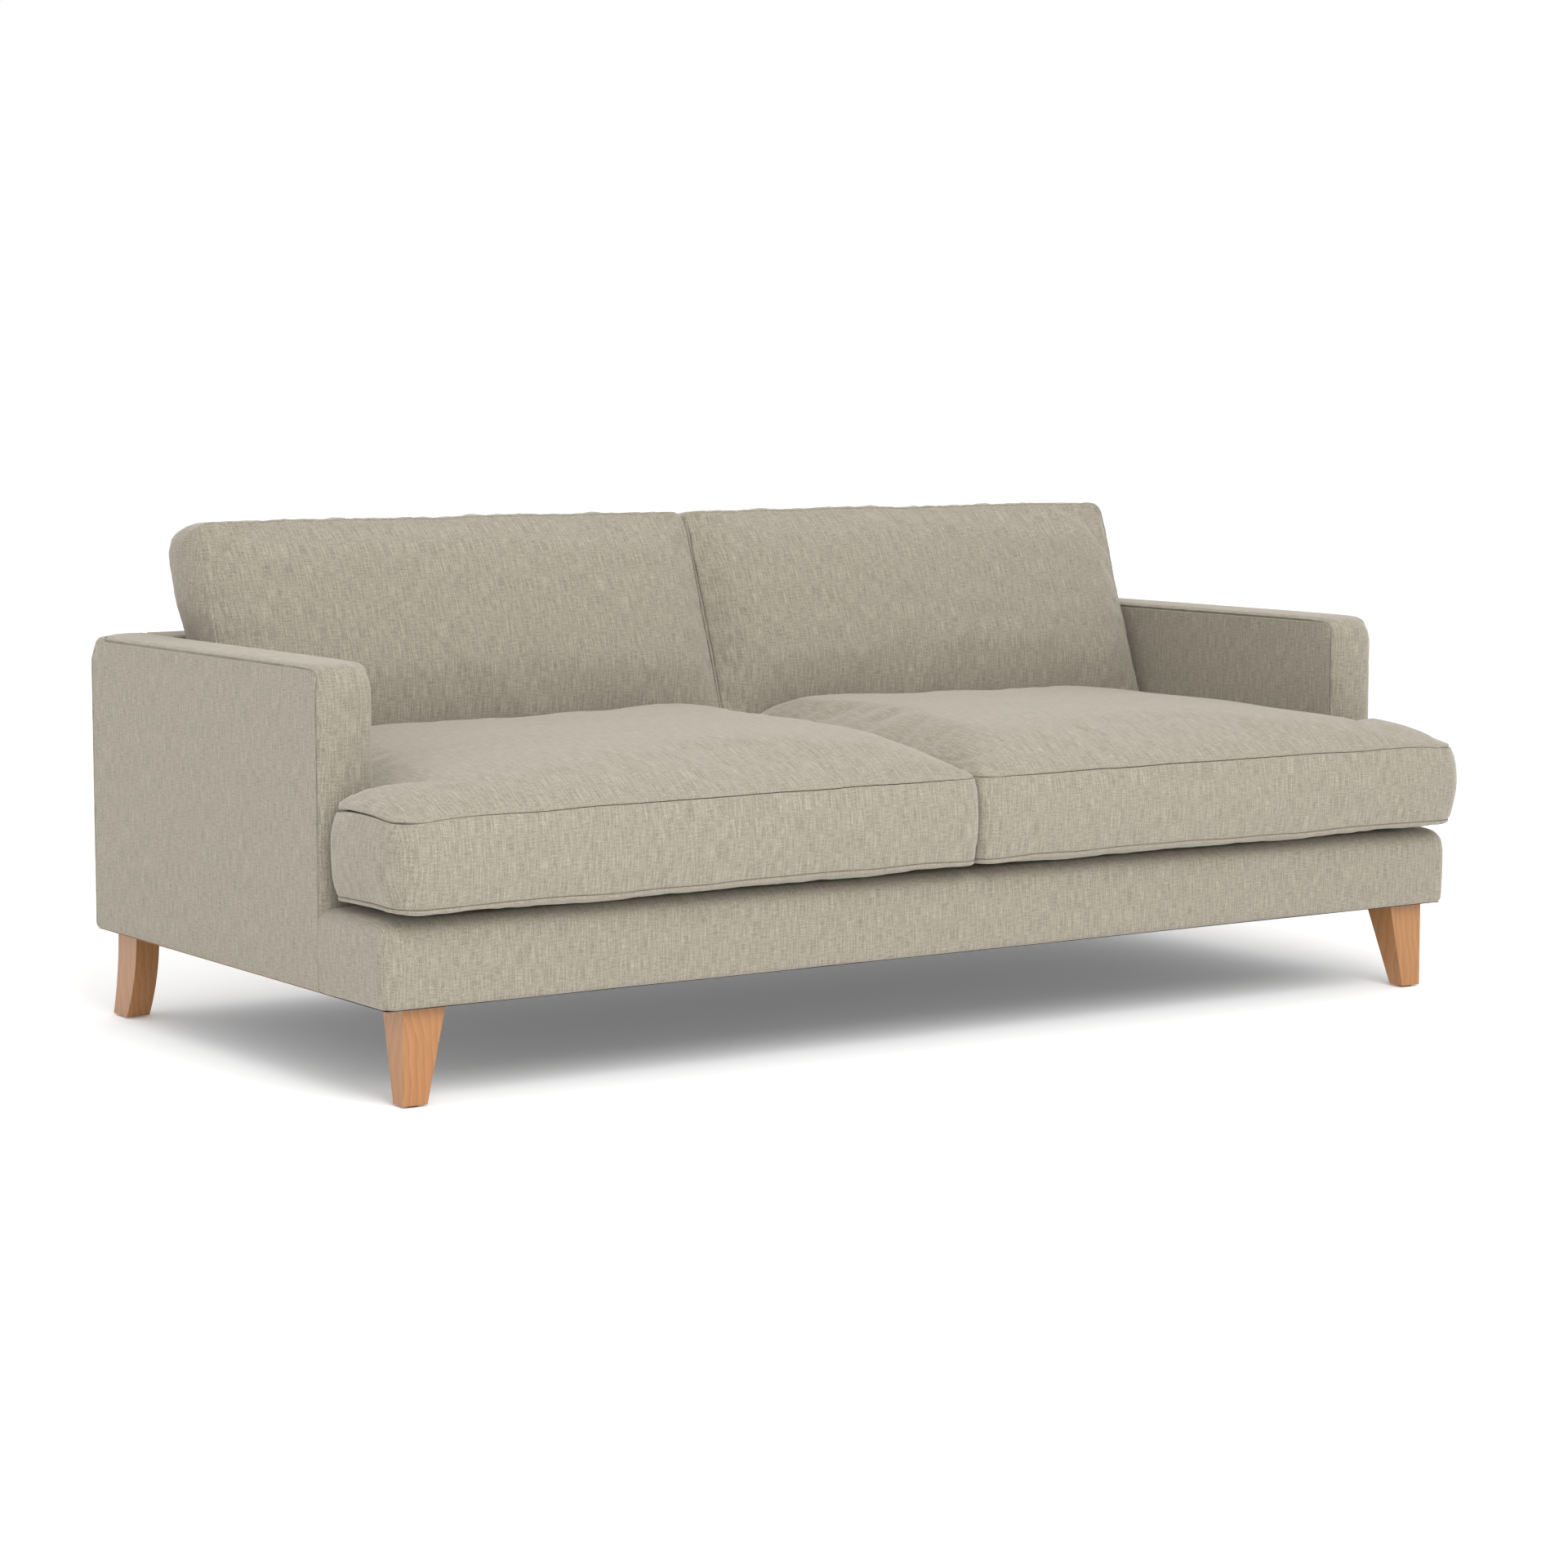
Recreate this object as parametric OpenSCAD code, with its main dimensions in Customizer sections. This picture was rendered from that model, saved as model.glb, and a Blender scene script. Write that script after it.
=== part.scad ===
// Two-and-a-half to three-seat sofa: a hardwood frame on four wooden legs, low
// set-back arms, two L-shaped loose seat cushions and two loose back cushions.
// X runs along the width, the front faces -Y and Z is up. The origin is at the
// middle of the sofa's footprint, on the floor.

/* [Overall] */
// Width over the arms and the base
sofa_w = 2100; // [1750:10:2520]
// Depth from the front of the base to the back of the sofa
frame_d = 1038; // [900:2:1245]
// Height of the underside of the frame above the floor
leg_h = 149; // [120:1:180]
// Height of the arms' top seam above the floor
arm_h = 633; // [560:1:740]

/* [Base and arms] */
// Height of the upholstered base, from its underside to the deck
base_h = 134; // [110:1:170]
// Width of each arm between its two top seams
arm_w = 92; // [76:1:112]
// Distance from the front of the base back to the front of the arms
arm_set_back = 194; // [160:1:235]
// Height that the padded arm and back tops crown above their seams
top_crown = 8; // [4:1:12]
// Radius of the vertical front corners of the base
corner_r = 22; // [17:1:27]
// Thickness of the back at its top
back_top_d = 119; // [105:1:145]
// Angle by which the back and its cushions lean away from vertical
lean = 19.6; // [15:0.1:23]

/* [Upholstery layers] */
// Thickness of the outer fabric with its thin wadding
cover_t = 4; // [3:0.5:5]
// Thickness of the fibreboard panels behind the outer fabric
board_t = 4; // [3:0.5:5]
// Thickness of foam on the fronts of the base and the arms
front_pad_t = 12; // [9:1:16]
// Thickness of foam on the tops of the arms and the back
top_pad_t = 20; // [16:1:25]
// Thickness of foam on the inner faces of the arms and the back
inner_pad_t = 16; // [12:1:20]
// Thickness of the felt between the springs and the deck cloth
felt_t = 8; // [6:1:10]
// Thickness of the black cloth under the frame
dust_cloth_t = 1; // [0.5:0.5:2]

/* [Timber] */
// Thickness of the seat rails
rail_t = 30; // [24:1:36]
// Section of the posts, arm rails and raking struts
post_t = 45; // [36:1:54]
// Thickness of the raking back struts across the lean
strut_t = 30; // [24:1:36]
// Height of the low cross rails that tie the front and rear rails
cross_rail_h = 70; // [56:1:84]
// Size of the corner blocks that take the leg bolts
block_w = 84; // [80:1:95]
// Height of the corner blocks
block_h = 60; // [50:1:72]

/* [Springs] */
// Number of zig-zag springs under each seat cushion
springs_per_seat = 5; // [3:1:7]
// Thickness of the spring wire
wire_t = 3.6; // [3:0.1:4.3]
// Width of each zig-zag spring over its bends
spring_w = 50; // [40:1:60]
// Number of cross bars along each spring
spring_bars = 17; // [13:2:23]
// Width of the elastic back webbing
webbing_w = 60; // [50:1:72]
// Number of webbing bands across the back
webbing_bands = 3; // [2:1:4]

/* [Legs] */
// Distance from the sofa's side to the outer face of the front legs
front_leg_in = 40; // [33:1:48]
// Distance from the base's front to the front face of the front legs
front_leg_back = 22; // [18:1:27]
// Width of a front leg at its top
front_leg_top_w = 72; // [66:1:78]
// Depth of a front leg at its top
front_leg_top_d = 63; // [58:1:70]
// Width of a front leg at its foot
front_leg_foot_w = 40; // [33:1:48]
// Depth of a front leg at its foot
front_leg_foot_d = 32; // [27:1:38]
// Distance from the sofa's side to the outer face of the rear legs
rear_leg_in = 28; // [23:1:34]
// Width of a rear leg, the same from top to foot
rear_leg_w = 41; // [34:1:49]
// Depth of a rear leg at its top
rear_leg_top_d = 73; // [66:1:80]
// Depth of a rear leg at its foot
rear_leg_foot_d = 53; // [44:1:62]
// Distance from the back of the sofa to the rear face of a rear leg's top
rear_leg_back = 38; // [34:1:46]
// Distance that a rear leg's foot rakes backwards past its top
rear_leg_rake = 25; // [15:1:30]
// Diameter of the hanger bolt that holds each leg
bolt_d = 8; // [6:1:10]
// Thickness of the foot glides
glide_t = 3; // [2:0.5:5]

/* [Cushions] */
// Height of a seat cushion's boxing between its two seams
seat_boxing = 131; // [109:1:157]
// Height of a seat cushion's belly below its lower seam
seat_belly = 19; // [14:1:24]
// Height that the seat cushions crown above their top seam
seat_crown = 50; // [40:1:60]
// Distance that the seat cushions stand in front of the base
seat_over = 36; // [30:1:43]
// Distance that the seat cushions' ends are set in from the base's ends
seat_end_in = 8; // [6:1:12]
// Height of the back cushions along their lean
back_cushion_h = 391; // [326:1:470]
// Thickness of the back cushions
back_cushion_t = 136; // [114:1:160]
// Gap between a back cushion and the arm beside it
back_end_gap = 18; // [12:1:24]
// Thickness of the cushion covers
cushion_cover_t = 2; // [1.5:0.5:3]
// Radius of the cushions' corners in plan
cushion_r = 26; // [20:1:32]

/* [Zips] */
// Width of the zip tapes
zip_w = 26; // [22:1:31]
// Thickness of the zip tapes
zip_t = 1.6; // [1.2:0.1:2]
// Distance from each end of a zip to the end of its cushion
zip_end = 140; // [110:1:170]

/* [Clearances] */
// Gap between the two cushions of a pair
pair_gap = 3; // [2:0.5:5]
// Gap between soft faces that rest against each other
soft_gap = 0.4; // [0.3:0.1:1]
// Gap between a seat cushion and the arm or the back beside it
side_gap = 4; // [3:0.5:6]
// Gap between an ear of a seat cushion and the front of the arm
ear_gap = 12; // [8:1:16]
// Gap between a bolt and its hole in the corner block
bolt_gap = 0.25; // [0.1:0.05:0.4]

/* [Hidden] */
$fn = 48;

fabric = [0.69, 0.66, 0.60];
foam = [0.93, 0.90, 0.78];
timber = [0.80, 0.66, 0.46];
leg_wood = [0.74, 0.55, 0.37];
steel = [0.62, 0.63, 0.65];
black = [0.10, 0.10, 0.11];

// Places along the depth. The footprint's middle is at y = 0.
half_w = sofa_w / 2;
front_y = (seat_over - frame_d) / 2;
rear_y = front_y + frame_d;
arm_front_y = front_y + arm_set_back;
arm_inner_x = half_w - arm_w;

// Faces of the timber behind the outer layers
timber_x = half_w - cover_t - board_t;
timber_front = front_y + cover_t + front_pad_t;
timber_rear = rear_y - cover_t - board_t;
arm_timber_in = arm_inner_x + cover_t + inner_pad_t + board_t;
arm_timber_front = arm_front_y + cover_t + front_pad_t;

// Heights
deck_z = leg_h + base_h;
platform_t = cover_t;
rail_top = deck_z - platform_t - felt_t - wire_t - 0.4;
crown_z = arm_h + top_crown;
arm_rail_top = crown_z - cover_t - top_pad_t;
arm_rail_bottom = arm_rail_top - post_t;
block_top = leg_h + block_h;

// Radius of the back's vertical corners, small enough to clear the posts inside
back_corner_r = cover_t + 3 * board_t;

// The leaning plane of the back: its face crosses arm_h at back_face_y
back_face_y = rear_y - back_top_d;
function lean_y(z, behind) =
    back_face_y + behind / cos(lean) - (arm_h - z) * tan(lean);
pad_behind = cover_t + inner_pad_t;
webbing_t = 2;
strut_front = pad_behind + webbing_t;
strut_back = strut_front + strut_t;
top_rail_front = lean_y(arm_rail_top, strut_back);

// The spring rail stands under the feet of the back struts, and in front of
// them it has room for the spring clips
clip_room = 26;
spring_rail_y0 = lean_y(rail_top, strut_front) - clip_room;
spring_rail_y1 = lean_y(rail_top, strut_back) + 8;

// Seat cushions
seat_z0 = deck_z + soft_gap;
seat_seam_z = seat_z0 + seat_belly + seat_boxing;
seat_front_y = front_y - seat_over;
seat_rear_y = lean_y(deck_z, 0) - 2 * side_gap;
seat_end_x = half_w - seat_end_in;
seat_inner_x = arm_inner_x - side_gap;
ear_rear_y = arm_front_y - ear_gap;

// Back cushions stand on the rear slope of the seat cushions, which starts
// under their lower front edge, and rest their rear against the back's face
back_on_gap = soft_gap + 1.4;
back_face_gap = 1;
back_on_seat = pow(cos(lean), 2)
    * ((back_cushion_t + back_face_gap) / cos(lean) - (back_face_y - seat_rear_y)
        + (arm_h - seat_seam_z - back_on_gap / cos(lean)) * tan(lean));
back_foot_y = seat_rear_y - back_on_seat;
back_foot_z = seat_seam_z + back_on_seat * tan(lean) + back_on_gap / cos(lean);
back_cushion_x = arm_inner_x - back_end_gap;

// Legs and their bolts
front_leg_x0 = -half_w + front_leg_in;
front_leg_y0 = front_y + front_leg_back;
rear_leg_x0 = -half_w + rear_leg_in;
rear_leg_y1 = rear_y - rear_leg_back;
bolt_in = 40;
bolt_up = 36;
front_bolt = [front_leg_x0 + 40, front_leg_y0 + 38];
rear_bolt = [rear_leg_x0 + rear_leg_w / 2, rear_leg_y1 - 42];
tee_flange_r = min(11, timber_x - rail_t + rear_bolt[0] - 0.5);
tee_flange_t = 2;
glide_r = 12;

// A box between two corners
module box(x0, x1, y0, y1, z0, z1) {
    translate([x0, y0, z0]) cube([x1 - x0, y1 - y0, z1 - z0]);
}

// A box from side to side, centred on x = 0
module wide_box(half, y0, y1, z0, z1) {
    box(-half, half, y0, y1, z0, z1);
}

// A rectangle with round corners
module round_rect(x0, x1, y0, y1, r) {
    translate([x0 + r, y0]) square([x1 - x0 - 2 * r, y1 - y0]);
    translate([x0, y0 + r]) square([x1 - x0, y1 - y0 - 2 * r]);
    for (x = [x0 + r, x1 - r], y = [y0 + r, y1 - r]) translate([x, y]) circle(r);
}

// The left one of a pair as drawn, or its mirror image on the right
module side(is_left) {
    if (is_left) children();
    else mirror([1, 0, 0]) children();
}

module both_sides() {
    children();
    mirror([1, 0, 0]) children();
}

// Frame whose z runs up the lean and whose y points squarely behind it
module on_lean(y, z) {
    translate([0, y, z]) rotate([-lean, 0, 0]) children();
}

// A layer of the back between two depths behind its face, cut off level
module lean_layer(x0, x1, n0, n1, z0, z1) {
    run = (arm_h - z0) / cos(lean) + 100;
    intersection() {
        on_lean(back_face_y, arm_h) box(x0, x1, n0, n1, -run, 100);
        box(x0 - 1, x1 + 1, front_y, rear_y + 200, z0, z1);
    }
}

// ---- Seat frame ----

module front_rail() {
    color(timber)
    wide_box(timber_x, timber_front, timber_front + rail_t, leg_h, rail_top);
}

module rear_rail() {
    color(timber)
    wide_box(timber_x, timber_rear - rail_t, timber_rear, leg_h, rail_top);
}

module side_rails() {
    color(timber)
    both_sides()
    box(-timber_x, -timber_x + rail_t, timber_front + rail_t, timber_rear - rail_t,
        leg_h, rail_top);
}

module cross_rails() {
    color(timber)
    for (x = [-1, 0, 1] * (timber_x - rail_t) / 2)
        box(x - rail_t / 2, x + rail_t / 2, timber_front + rail_t,
            timber_rear - rail_t, leg_h, leg_h + cross_rail_h);
}

module spring_rail() {
    color(timber)
    wide_box(timber_x - rail_t, spring_rail_y0, spring_rail_y1,
        leg_h + cross_rail_h, rail_top);
}

module bolt_places() {
    both_sides() {
        translate([front_bolt[0], front_bolt[1], 0]) children();
        translate([rear_bolt[0], rear_bolt[1], 0]) children();
    }
}

module corner_blocks() {
    color(timber)
    difference() {
        both_sides() {
            box(-timber_x + rail_t, -timber_x + rail_t + block_w,
                timber_front + rail_t, timber_front + rail_t + block_w,
                leg_h, block_top);
            box(-timber_x + rail_t, -timber_x + rail_t + block_w,
                timber_rear - rail_t - block_w, timber_rear - rail_t,
                leg_h, block_top);
        }
        bolt_places() translate([0, 0, leg_h - 1])
            cylinder(h = block_h + 2, r = bolt_d / 2 + bolt_gap);
    }
}

// ---- Arm frames ----

module arm_posts() {
    color(timber)
    both_sides()
    for (y = [arm_timber_front, (arm_timber_front + back_face_y) / 2])
        box(-timber_x, -arm_timber_in, y, y + post_t, rail_top, arm_rail_bottom);
}

module arm_top_rails() {
    color(timber)
    both_sides()
    box(-timber_x, -arm_timber_in, arm_timber_front, top_rail_front,
        arm_rail_bottom, arm_rail_top);
}

module arm_outer_boards() {
    color(timber)
    both_sides()
    box(-timber_x - board_t, -timber_x, arm_timber_front, rear_y - back_corner_r,
        leg_h, arm_rail_top);
}

module arm_inner_boards() {
    color(timber)
    both_sides()
    difference() {
        box(-arm_timber_in, -arm_timber_in + board_t, arm_timber_front, rear_y,
            deck_z, arm_rail_top);
        on_lean(back_face_y, arm_h) box(-half_w, 0, 0, frame_d, -frame_d, frame_d);
    }
}

// ---- Back frame ----

module back_posts() {
    color(timber)
    for (k = [-1, -1 / 3, 1 / 3, 1]) {
        x = k * (timber_x - post_t / 2);
        box(x - post_t / 2, x + post_t / 2, timber_rear - post_t, timber_rear,
            rail_top, arm_rail_bottom);
    }
}

module back_struts() {
    color(timber)
    for (k = [-1, -0.5, 0, 0.5, 1]) {
        x = k * (arm_timber_in - board_t - post_t / 2);
        lean_layer(x - post_t / 2, x + post_t / 2, strut_front, strut_back,
            rail_top, arm_rail_top);
    }
}

module back_top_rail() {
    color(timber)
    wide_box(timber_x, top_rail_front, timber_rear, arm_rail_bottom, arm_rail_top);
}

module back_board() {
    color(timber)
    wide_box(half_w - back_corner_r, timber_rear, timber_rear + board_t,
        leg_h, arm_rail_top);
}

module back_webbing() {
    color(black)
    for (k = [1:webbing_bands]) {
        z = deck_z + (arm_rail_bottom - deck_z) * k / (webbing_bands + 1);
        lean_layer(-arm_timber_in + board_t, arm_timber_in - board_t,
            pad_behind, strut_front, z - webbing_w / 2, z + webbing_w / 2);
    }
}

// ---- Seat suspension ----

spring_y0 = timber_front + rail_t / 2;
spring_y1 = spring_rail_y0 + clip_room / 2;
spring_pitch = (spring_y1 - spring_y0) / (spring_bars - 1);
bend_r = spring_pitch / 2;
bend_steps = 6;
function spring_line() = [
    for (i = [0:spring_bars - 1]) let(s = i % 2 == 0 ? 1 : -1, y = spring_y0 + i * spring_pitch)
        each concat(
            [[-s * (spring_w / 2 - (i == 0 ? 0 : bend_r)), y]],
            i == spring_bars - 1
                ? [[s * spring_w / 2, y]]
                : [for (a = [0:bend_steps - 1]) let(t = 180 * a / bend_steps)
                    [s * (spring_w / 2 - bend_r + bend_r * sin(t)),
                     y + bend_r - bend_r * cos(t)]])
];
function along(a, b) = (b - a) / norm(b - a);
function left_of(v) = [-v[1], v[0]];
// Outline of a bent wire of width w that follows a line of points
function wire_side(p, w) = [
    for (i = [0:len(p) - 1])
        let(d = i == 0 ? along(p[0], p[1])
              : i == len(p) - 1 ? along(p[i - 1], p[i])
              : along(p[i - 1], p[i]) + along(p[i], p[i + 1]),
            m = along([0, 0], d),
            half = i == 0 || i == len(p) - 1 ? w / 2
              : w / 2 / (m * along(p[i], p[i + 1])))
        p[i] + left_of(m) * half
];
function reversed(p) = [for (i = [len(p) - 1:-1:0]) p[i]];

// Middles of the springs across one seat
spring_span = seat_inner_x - 2 * rail_t;
spring_x = [for (k = [0:springs_per_seat - 1])
    rail_t + spring_span * (k + 0.5) / springs_per_seat];

module seat_springs() {
    line = spring_line();
    color(steel)
    both_sides()
    for (x = spring_x)
        translate([-x, 0, rail_top + 0.2]) linear_extrude(wire_t)
            polygon(concat(wire_side(line, wire_t), reversed(wire_side(line, -wire_t))));
}

// Each end bar of a spring is held down by a folded clip on the rail, midway
// along the bar's straight part
clip_w = 16;
clip_d = 14;
clip_h = wire_t + 3;
module spring_clips() {
    color(steel)
    both_sides()
    for (x = spring_x, end = [[-spring_w / 4, spring_y0], [spring_w / 4, spring_y1]])
        translate([-x + end[0], end[1], rail_top])
            difference() {
                box(-clip_w / 2, clip_w / 2, -clip_d / 2, clip_d / 2, 0, clip_h);
                box(-clip_w, clip_w, -wire_t / 2 - 0.3, wire_t / 2 + 0.3, -1, wire_t + 0.6);
            }
}

module seat_felt() {
    color(foam)
    wide_box(arm_timber_in - board_t, arm_timber_front,
        lean_y(deck_z - platform_t - felt_t, strut_front) - rail_t,
        deck_z - platform_t - felt_t, deck_z - platform_t);
}

module seat_platform() {
    color(fabric)
    wide_box(arm_timber_in, arm_timber_front, lean_y(deck_z, 0),
        deck_z - platform_t, deck_z);
}

// ---- Padding ----

// A foam band round the front of the base, with a thin lid over the springs
module base_pad() {
    lid = 4;
    color(foam)
    translate([0, 0, leg_h])
    difference() {
        linear_extrude(deck_z - cover_t - leg_h) intersection() {
            round_rect(-half_w + cover_t, half_w - cover_t, front_y + cover_t, rear_y,
                corner_r - cover_t);
            translate([-half_w, front_y]) square([sofa_w, arm_timber_front - front_y]);
        }
        wide_box(timber_x, timber_front, arm_timber_front + 1, -1,
            deck_z - cover_t - lid - leg_h);
    }
}

// A band that lies along the arm's top rail and down the face of its front
// post: its outer corner is at (front, top) and its inner one at (back, under)
module arm_band_layer(x0, x1, front, back, under, top) {
    difference() {
        box(x0, x1, front, top_rail_front, deck_z, top);
        box(x0 - 1, x1 + 1, back, top_rail_front + 1, deck_z - 1, under);
    }
}

module arm_band_pads() {
    color(foam)
    both_sides()
    arm_band_layer(-timber_x - board_t, -arm_inner_x - cover_t, arm_front_y + cover_t,
        arm_timber_front, arm_rail_top, crown_z - cover_t);
}

module arm_inner_pads() {
    color(foam)
    both_sides()
    difference() {
        box(-arm_inner_x - cover_t - inner_pad_t, -arm_inner_x - cover_t,
            arm_timber_front, rear_y, deck_z, arm_rail_top);
        on_lean(back_face_y, arm_h) box(-half_w, 0, 0, frame_d, -frame_d, frame_d);
    }
}

module back_pad() {
    color(foam)
    lean_layer(-arm_timber_in + board_t, arm_timber_in - board_t, cover_t,
        pad_behind, deck_z, arm_rail_top);
}

module back_top_pad() {
    color(foam)
    translate([0, 0, arm_rail_top]) linear_extrude(top_pad_t)
        intersection() {
            round_rect(-half_w + cover_t, half_w - cover_t, front_y, rear_y - cover_t,
                back_corner_r - cover_t);
            translate([-half_w, top_rail_front])
                square([sofa_w, rear_y - top_rail_front]);
        }
}

// ---- Fixed covers ----

module base_cover() {
    color(fabric)
    translate([0, 0, leg_h])
    difference() {
        linear_extrude(base_h) intersection() {
            round_rect(-half_w, half_w, front_y, rear_y, corner_r);
            translate([-half_w, front_y]) square([sofa_w, arm_timber_front - front_y]);
        }
        translate([0, 0, -1]) linear_extrude(base_h - cover_t + 1)
            round_rect(-half_w + cover_t, half_w - cover_t, front_y + cover_t, rear_y,
                corner_r - cover_t);
    }
}

module arm_outer_cover(is_left) {
    color(fabric)
    side(is_left)
    box(-half_w, -half_w + cover_t, arm_timber_front, rear_y - back_corner_r,
        leg_h, crown_z - cover_t);
}

module arm_inner_cover(is_left) {
    color(fabric)
    side(is_left)
    difference() {
        box(-arm_inner_x - cover_t, -arm_inner_x, arm_timber_front, rear_y,
            deck_z, crown_z - cover_t);
        on_lean(back_face_y, arm_h) box(-half_w, 0, 0, frame_d, -frame_d, frame_d);
    }
}

module arm_band(is_left) {
    color(fabric)
    side(is_left)
    arm_band_layer(-half_w, -arm_inner_x, arm_front_y, arm_front_y + cover_t,
        crown_z - cover_t, crown_z);
}

module back_inner_cover() {
    color(fabric)
    lean_layer(-arm_timber_in + board_t, arm_timber_in - board_t, 0, cover_t,
        deck_z, arm_rail_top);
}

module back_outer_cover() {
    color(fabric)
    translate([0, 0, leg_h]) linear_extrude(crown_z - cover_t - leg_h)
        difference() {
            intersection() {
                round_rect(-half_w, half_w, front_y, rear_y, back_corner_r);
                translate([-half_w, rear_y - back_corner_r])
                    square([sofa_w, back_corner_r]);
            }
            round_rect(-half_w + cover_t, half_w - cover_t, front_y, rear_y - cover_t,
                back_corner_r - cover_t);
        }
}

module back_top_cover() {
    color(fabric)
    translate([0, 0, crown_z - cover_t]) linear_extrude(cover_t)
        intersection() {
            round_rect(-half_w, half_w, front_y, rear_y, back_corner_r);
            translate([-half_w, top_rail_front])
                square([sofa_w, rear_y - top_rail_front]);
        }
}

module dust_cover() {
    color(black)
    translate([0, 0, leg_h - dust_cloth_t]) linear_extrude(dust_cloth_t)
        difference() {
            round_rect(-half_w + cover_t, half_w - cover_t, front_y + cover_t,
                rear_y - cover_t, corner_r);
            for (s = [-1, 1]) flip_flat(s) {
                translate([front_leg_x0 - 1, front_leg_y0 - 1])
                    square([front_leg_top_w + 2, front_leg_top_d + 2]);
                translate([rear_leg_x0 - 1, rear_leg_y1 - rear_leg_top_d - 1])
                    square([rear_leg_w + 2, rear_leg_top_d + 2]);
            }
        }
}

module flip_flat(s) {
    if (s > 0) children();
    else mirror([1, 0]) children();
}

// ---- Legs ----

// The outer front edge is upright; the inner and rear faces taper to the foot
module front_leg(is_left) {
    h = leg_h - glide_t;
    w = front_leg_top_w;
    d = front_leg_top_d;
    fw = front_leg_foot_w;
    fd = front_leg_foot_d;
    color(leg_wood)
    side(is_left)
    difference() {
        translate([front_leg_x0, front_leg_y0, glide_t])
            polyhedron(
                [[0, 0, 0], [fw, 0, 0], [fw, fd, 0], [0, fd, 0],
                 [0, 0, h], [w, 0, h], [w, d, h], [0, d, h]],
                [[0, 1, 2, 3], [7, 6, 5, 4], [0, 4, 5, 1], [1, 5, 6, 2],
                 [2, 6, 7, 3], [3, 7, 4, 0]]);
        translate([front_bolt[0], front_bolt[1], leg_h - bolt_in])
            cylinder(h = bolt_in + 1, r = bolt_d / 2);
    }
}

// A curved leg whose foot rakes backwards, the same width all the way down
leg_steps = 10;
function rear_leg_side(shift, foot_shift) = [
    for (i = [0:leg_steps]) let(t = i / leg_steps)
        [shift + foot_shift * t * t, leg_h - (leg_h - glide_t) * t]
];

module rear_leg(is_left) {
    front_shift = rear_leg_rake + rear_leg_top_d - rear_leg_foot_d;
    color(leg_wood)
    side(is_left)
    difference() {
        translate([rear_leg_x0 + rear_leg_w, 0, 0]) rotate([90, 0, -90])
            linear_extrude(rear_leg_w)
            mirror([1, 0])
            polygon(concat(
                rear_leg_side(rear_leg_y1 - rear_leg_top_d, front_shift),
                reversed(rear_leg_side(rear_leg_y1, rear_leg_rake))));
        translate([rear_bolt[0], rear_bolt[1], leg_h - bolt_in])
            cylinder(h = bolt_in + 1, r = bolt_d / 2);
    }
}

module leg_bolts() {
    color(steel)
    bolt_places() translate([0, 0, leg_h - bolt_in])
        cylinder(h = bolt_in + block_h + tee_flange_t, r = bolt_d / 2);
}

module tee_nuts() {
    color(steel)
    bolt_places() translate([0, 0, block_top])
        difference() {
            cylinder(h = tee_flange_t, r = tee_flange_r);
            translate([0, 0, -1]) cylinder(h = tee_flange_t + 2, r = bolt_d / 2);
        }
}

module foot_glides() {
    color(black)
    both_sides() {
        translate([front_leg_x0 + front_leg_foot_w / 2,
            front_leg_y0 + front_leg_foot_d / 2, 0])
            cylinder(h = glide_t, r = glide_r);
        translate([rear_leg_x0 + rear_leg_w / 2,
            rear_leg_y1 + rear_leg_rake - rear_leg_foot_d / 2, 0])
            cylinder(h = glide_t, r = glide_r);
    }
}

// ---- Seat cushions ----

// Side view of a seat cushion: upright front and rear, a crowned top that
// falls to its front seam and slopes down under the back cushion
module seat_profile(inset) {
    y0 = seat_front_y + inset;
    y1 = seat_rear_y - inset;
    z0 = seat_z0 + inset;
    z1 = seat_seam_z - inset;
    slope_y = seat_rear_y - back_on_seat;
    slope_z = z1 + back_on_seat * tan(lean);
    polygon([
        [y0, z0], [y1, z0], [y1, z1 + inset * tan(lean)], [slope_y, slope_z],
        [slope_y - 60, z1 + seat_crown], [y0 + 150, z1 + seat_crown],
        [y0 + 50, z1 + seat_crown * 0.6], [y0, z1]
    ]);
}

module seat_solid(inset) {
    intersection() {
        translate([-half_w, 0, 0]) rotate([90, 0, 90])
            linear_extrude(half_w) seat_profile(inset);
        translate([0, 0, seat_z0]) linear_extrude(seat_boxing + 3 * seat_crown)
            union() {
                round_rect(-seat_inner_x + inset, -pair_gap / 2 - inset,
                    seat_front_y + inset, seat_rear_y - inset, cushion_r - inset);
                round_rect(-seat_end_x + inset, -seat_inner_x + 3 * cushion_r,
                    seat_front_y + inset, ear_rear_y - inset, cushion_r - inset);
            }
    }
}

module seat_cover(is_left) {
    color(fabric)
    side(is_left)
    difference() {
        seat_solid(0);
        seat_solid(cushion_cover_t);
    }
}

module seat_foam(is_left) {
    color(foam)
    side(is_left)
    seat_solid(cushion_cover_t + 0.2);
}

// ---- Back cushions ----

// Drawn on the lean: z runs up the cushion and y points behind it
module back_solid(inset) {
    on_lean(back_foot_y, back_foot_z)
    box(-back_cushion_x + inset, -pair_gap / 2 - inset,
        inset, back_cushion_t - inset,
        inset, back_cushion_h - inset);
}

module back_cover(is_left) {
    color(fabric)
    side(is_left)
    difference() {
        back_solid(0);
        back_solid(cushion_cover_t);
    }
}

module back_fill(is_left) {
    color(foam)
    side(is_left)
    back_solid(cushion_cover_t + 0.2);
}

// ---- Zips ----

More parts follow.
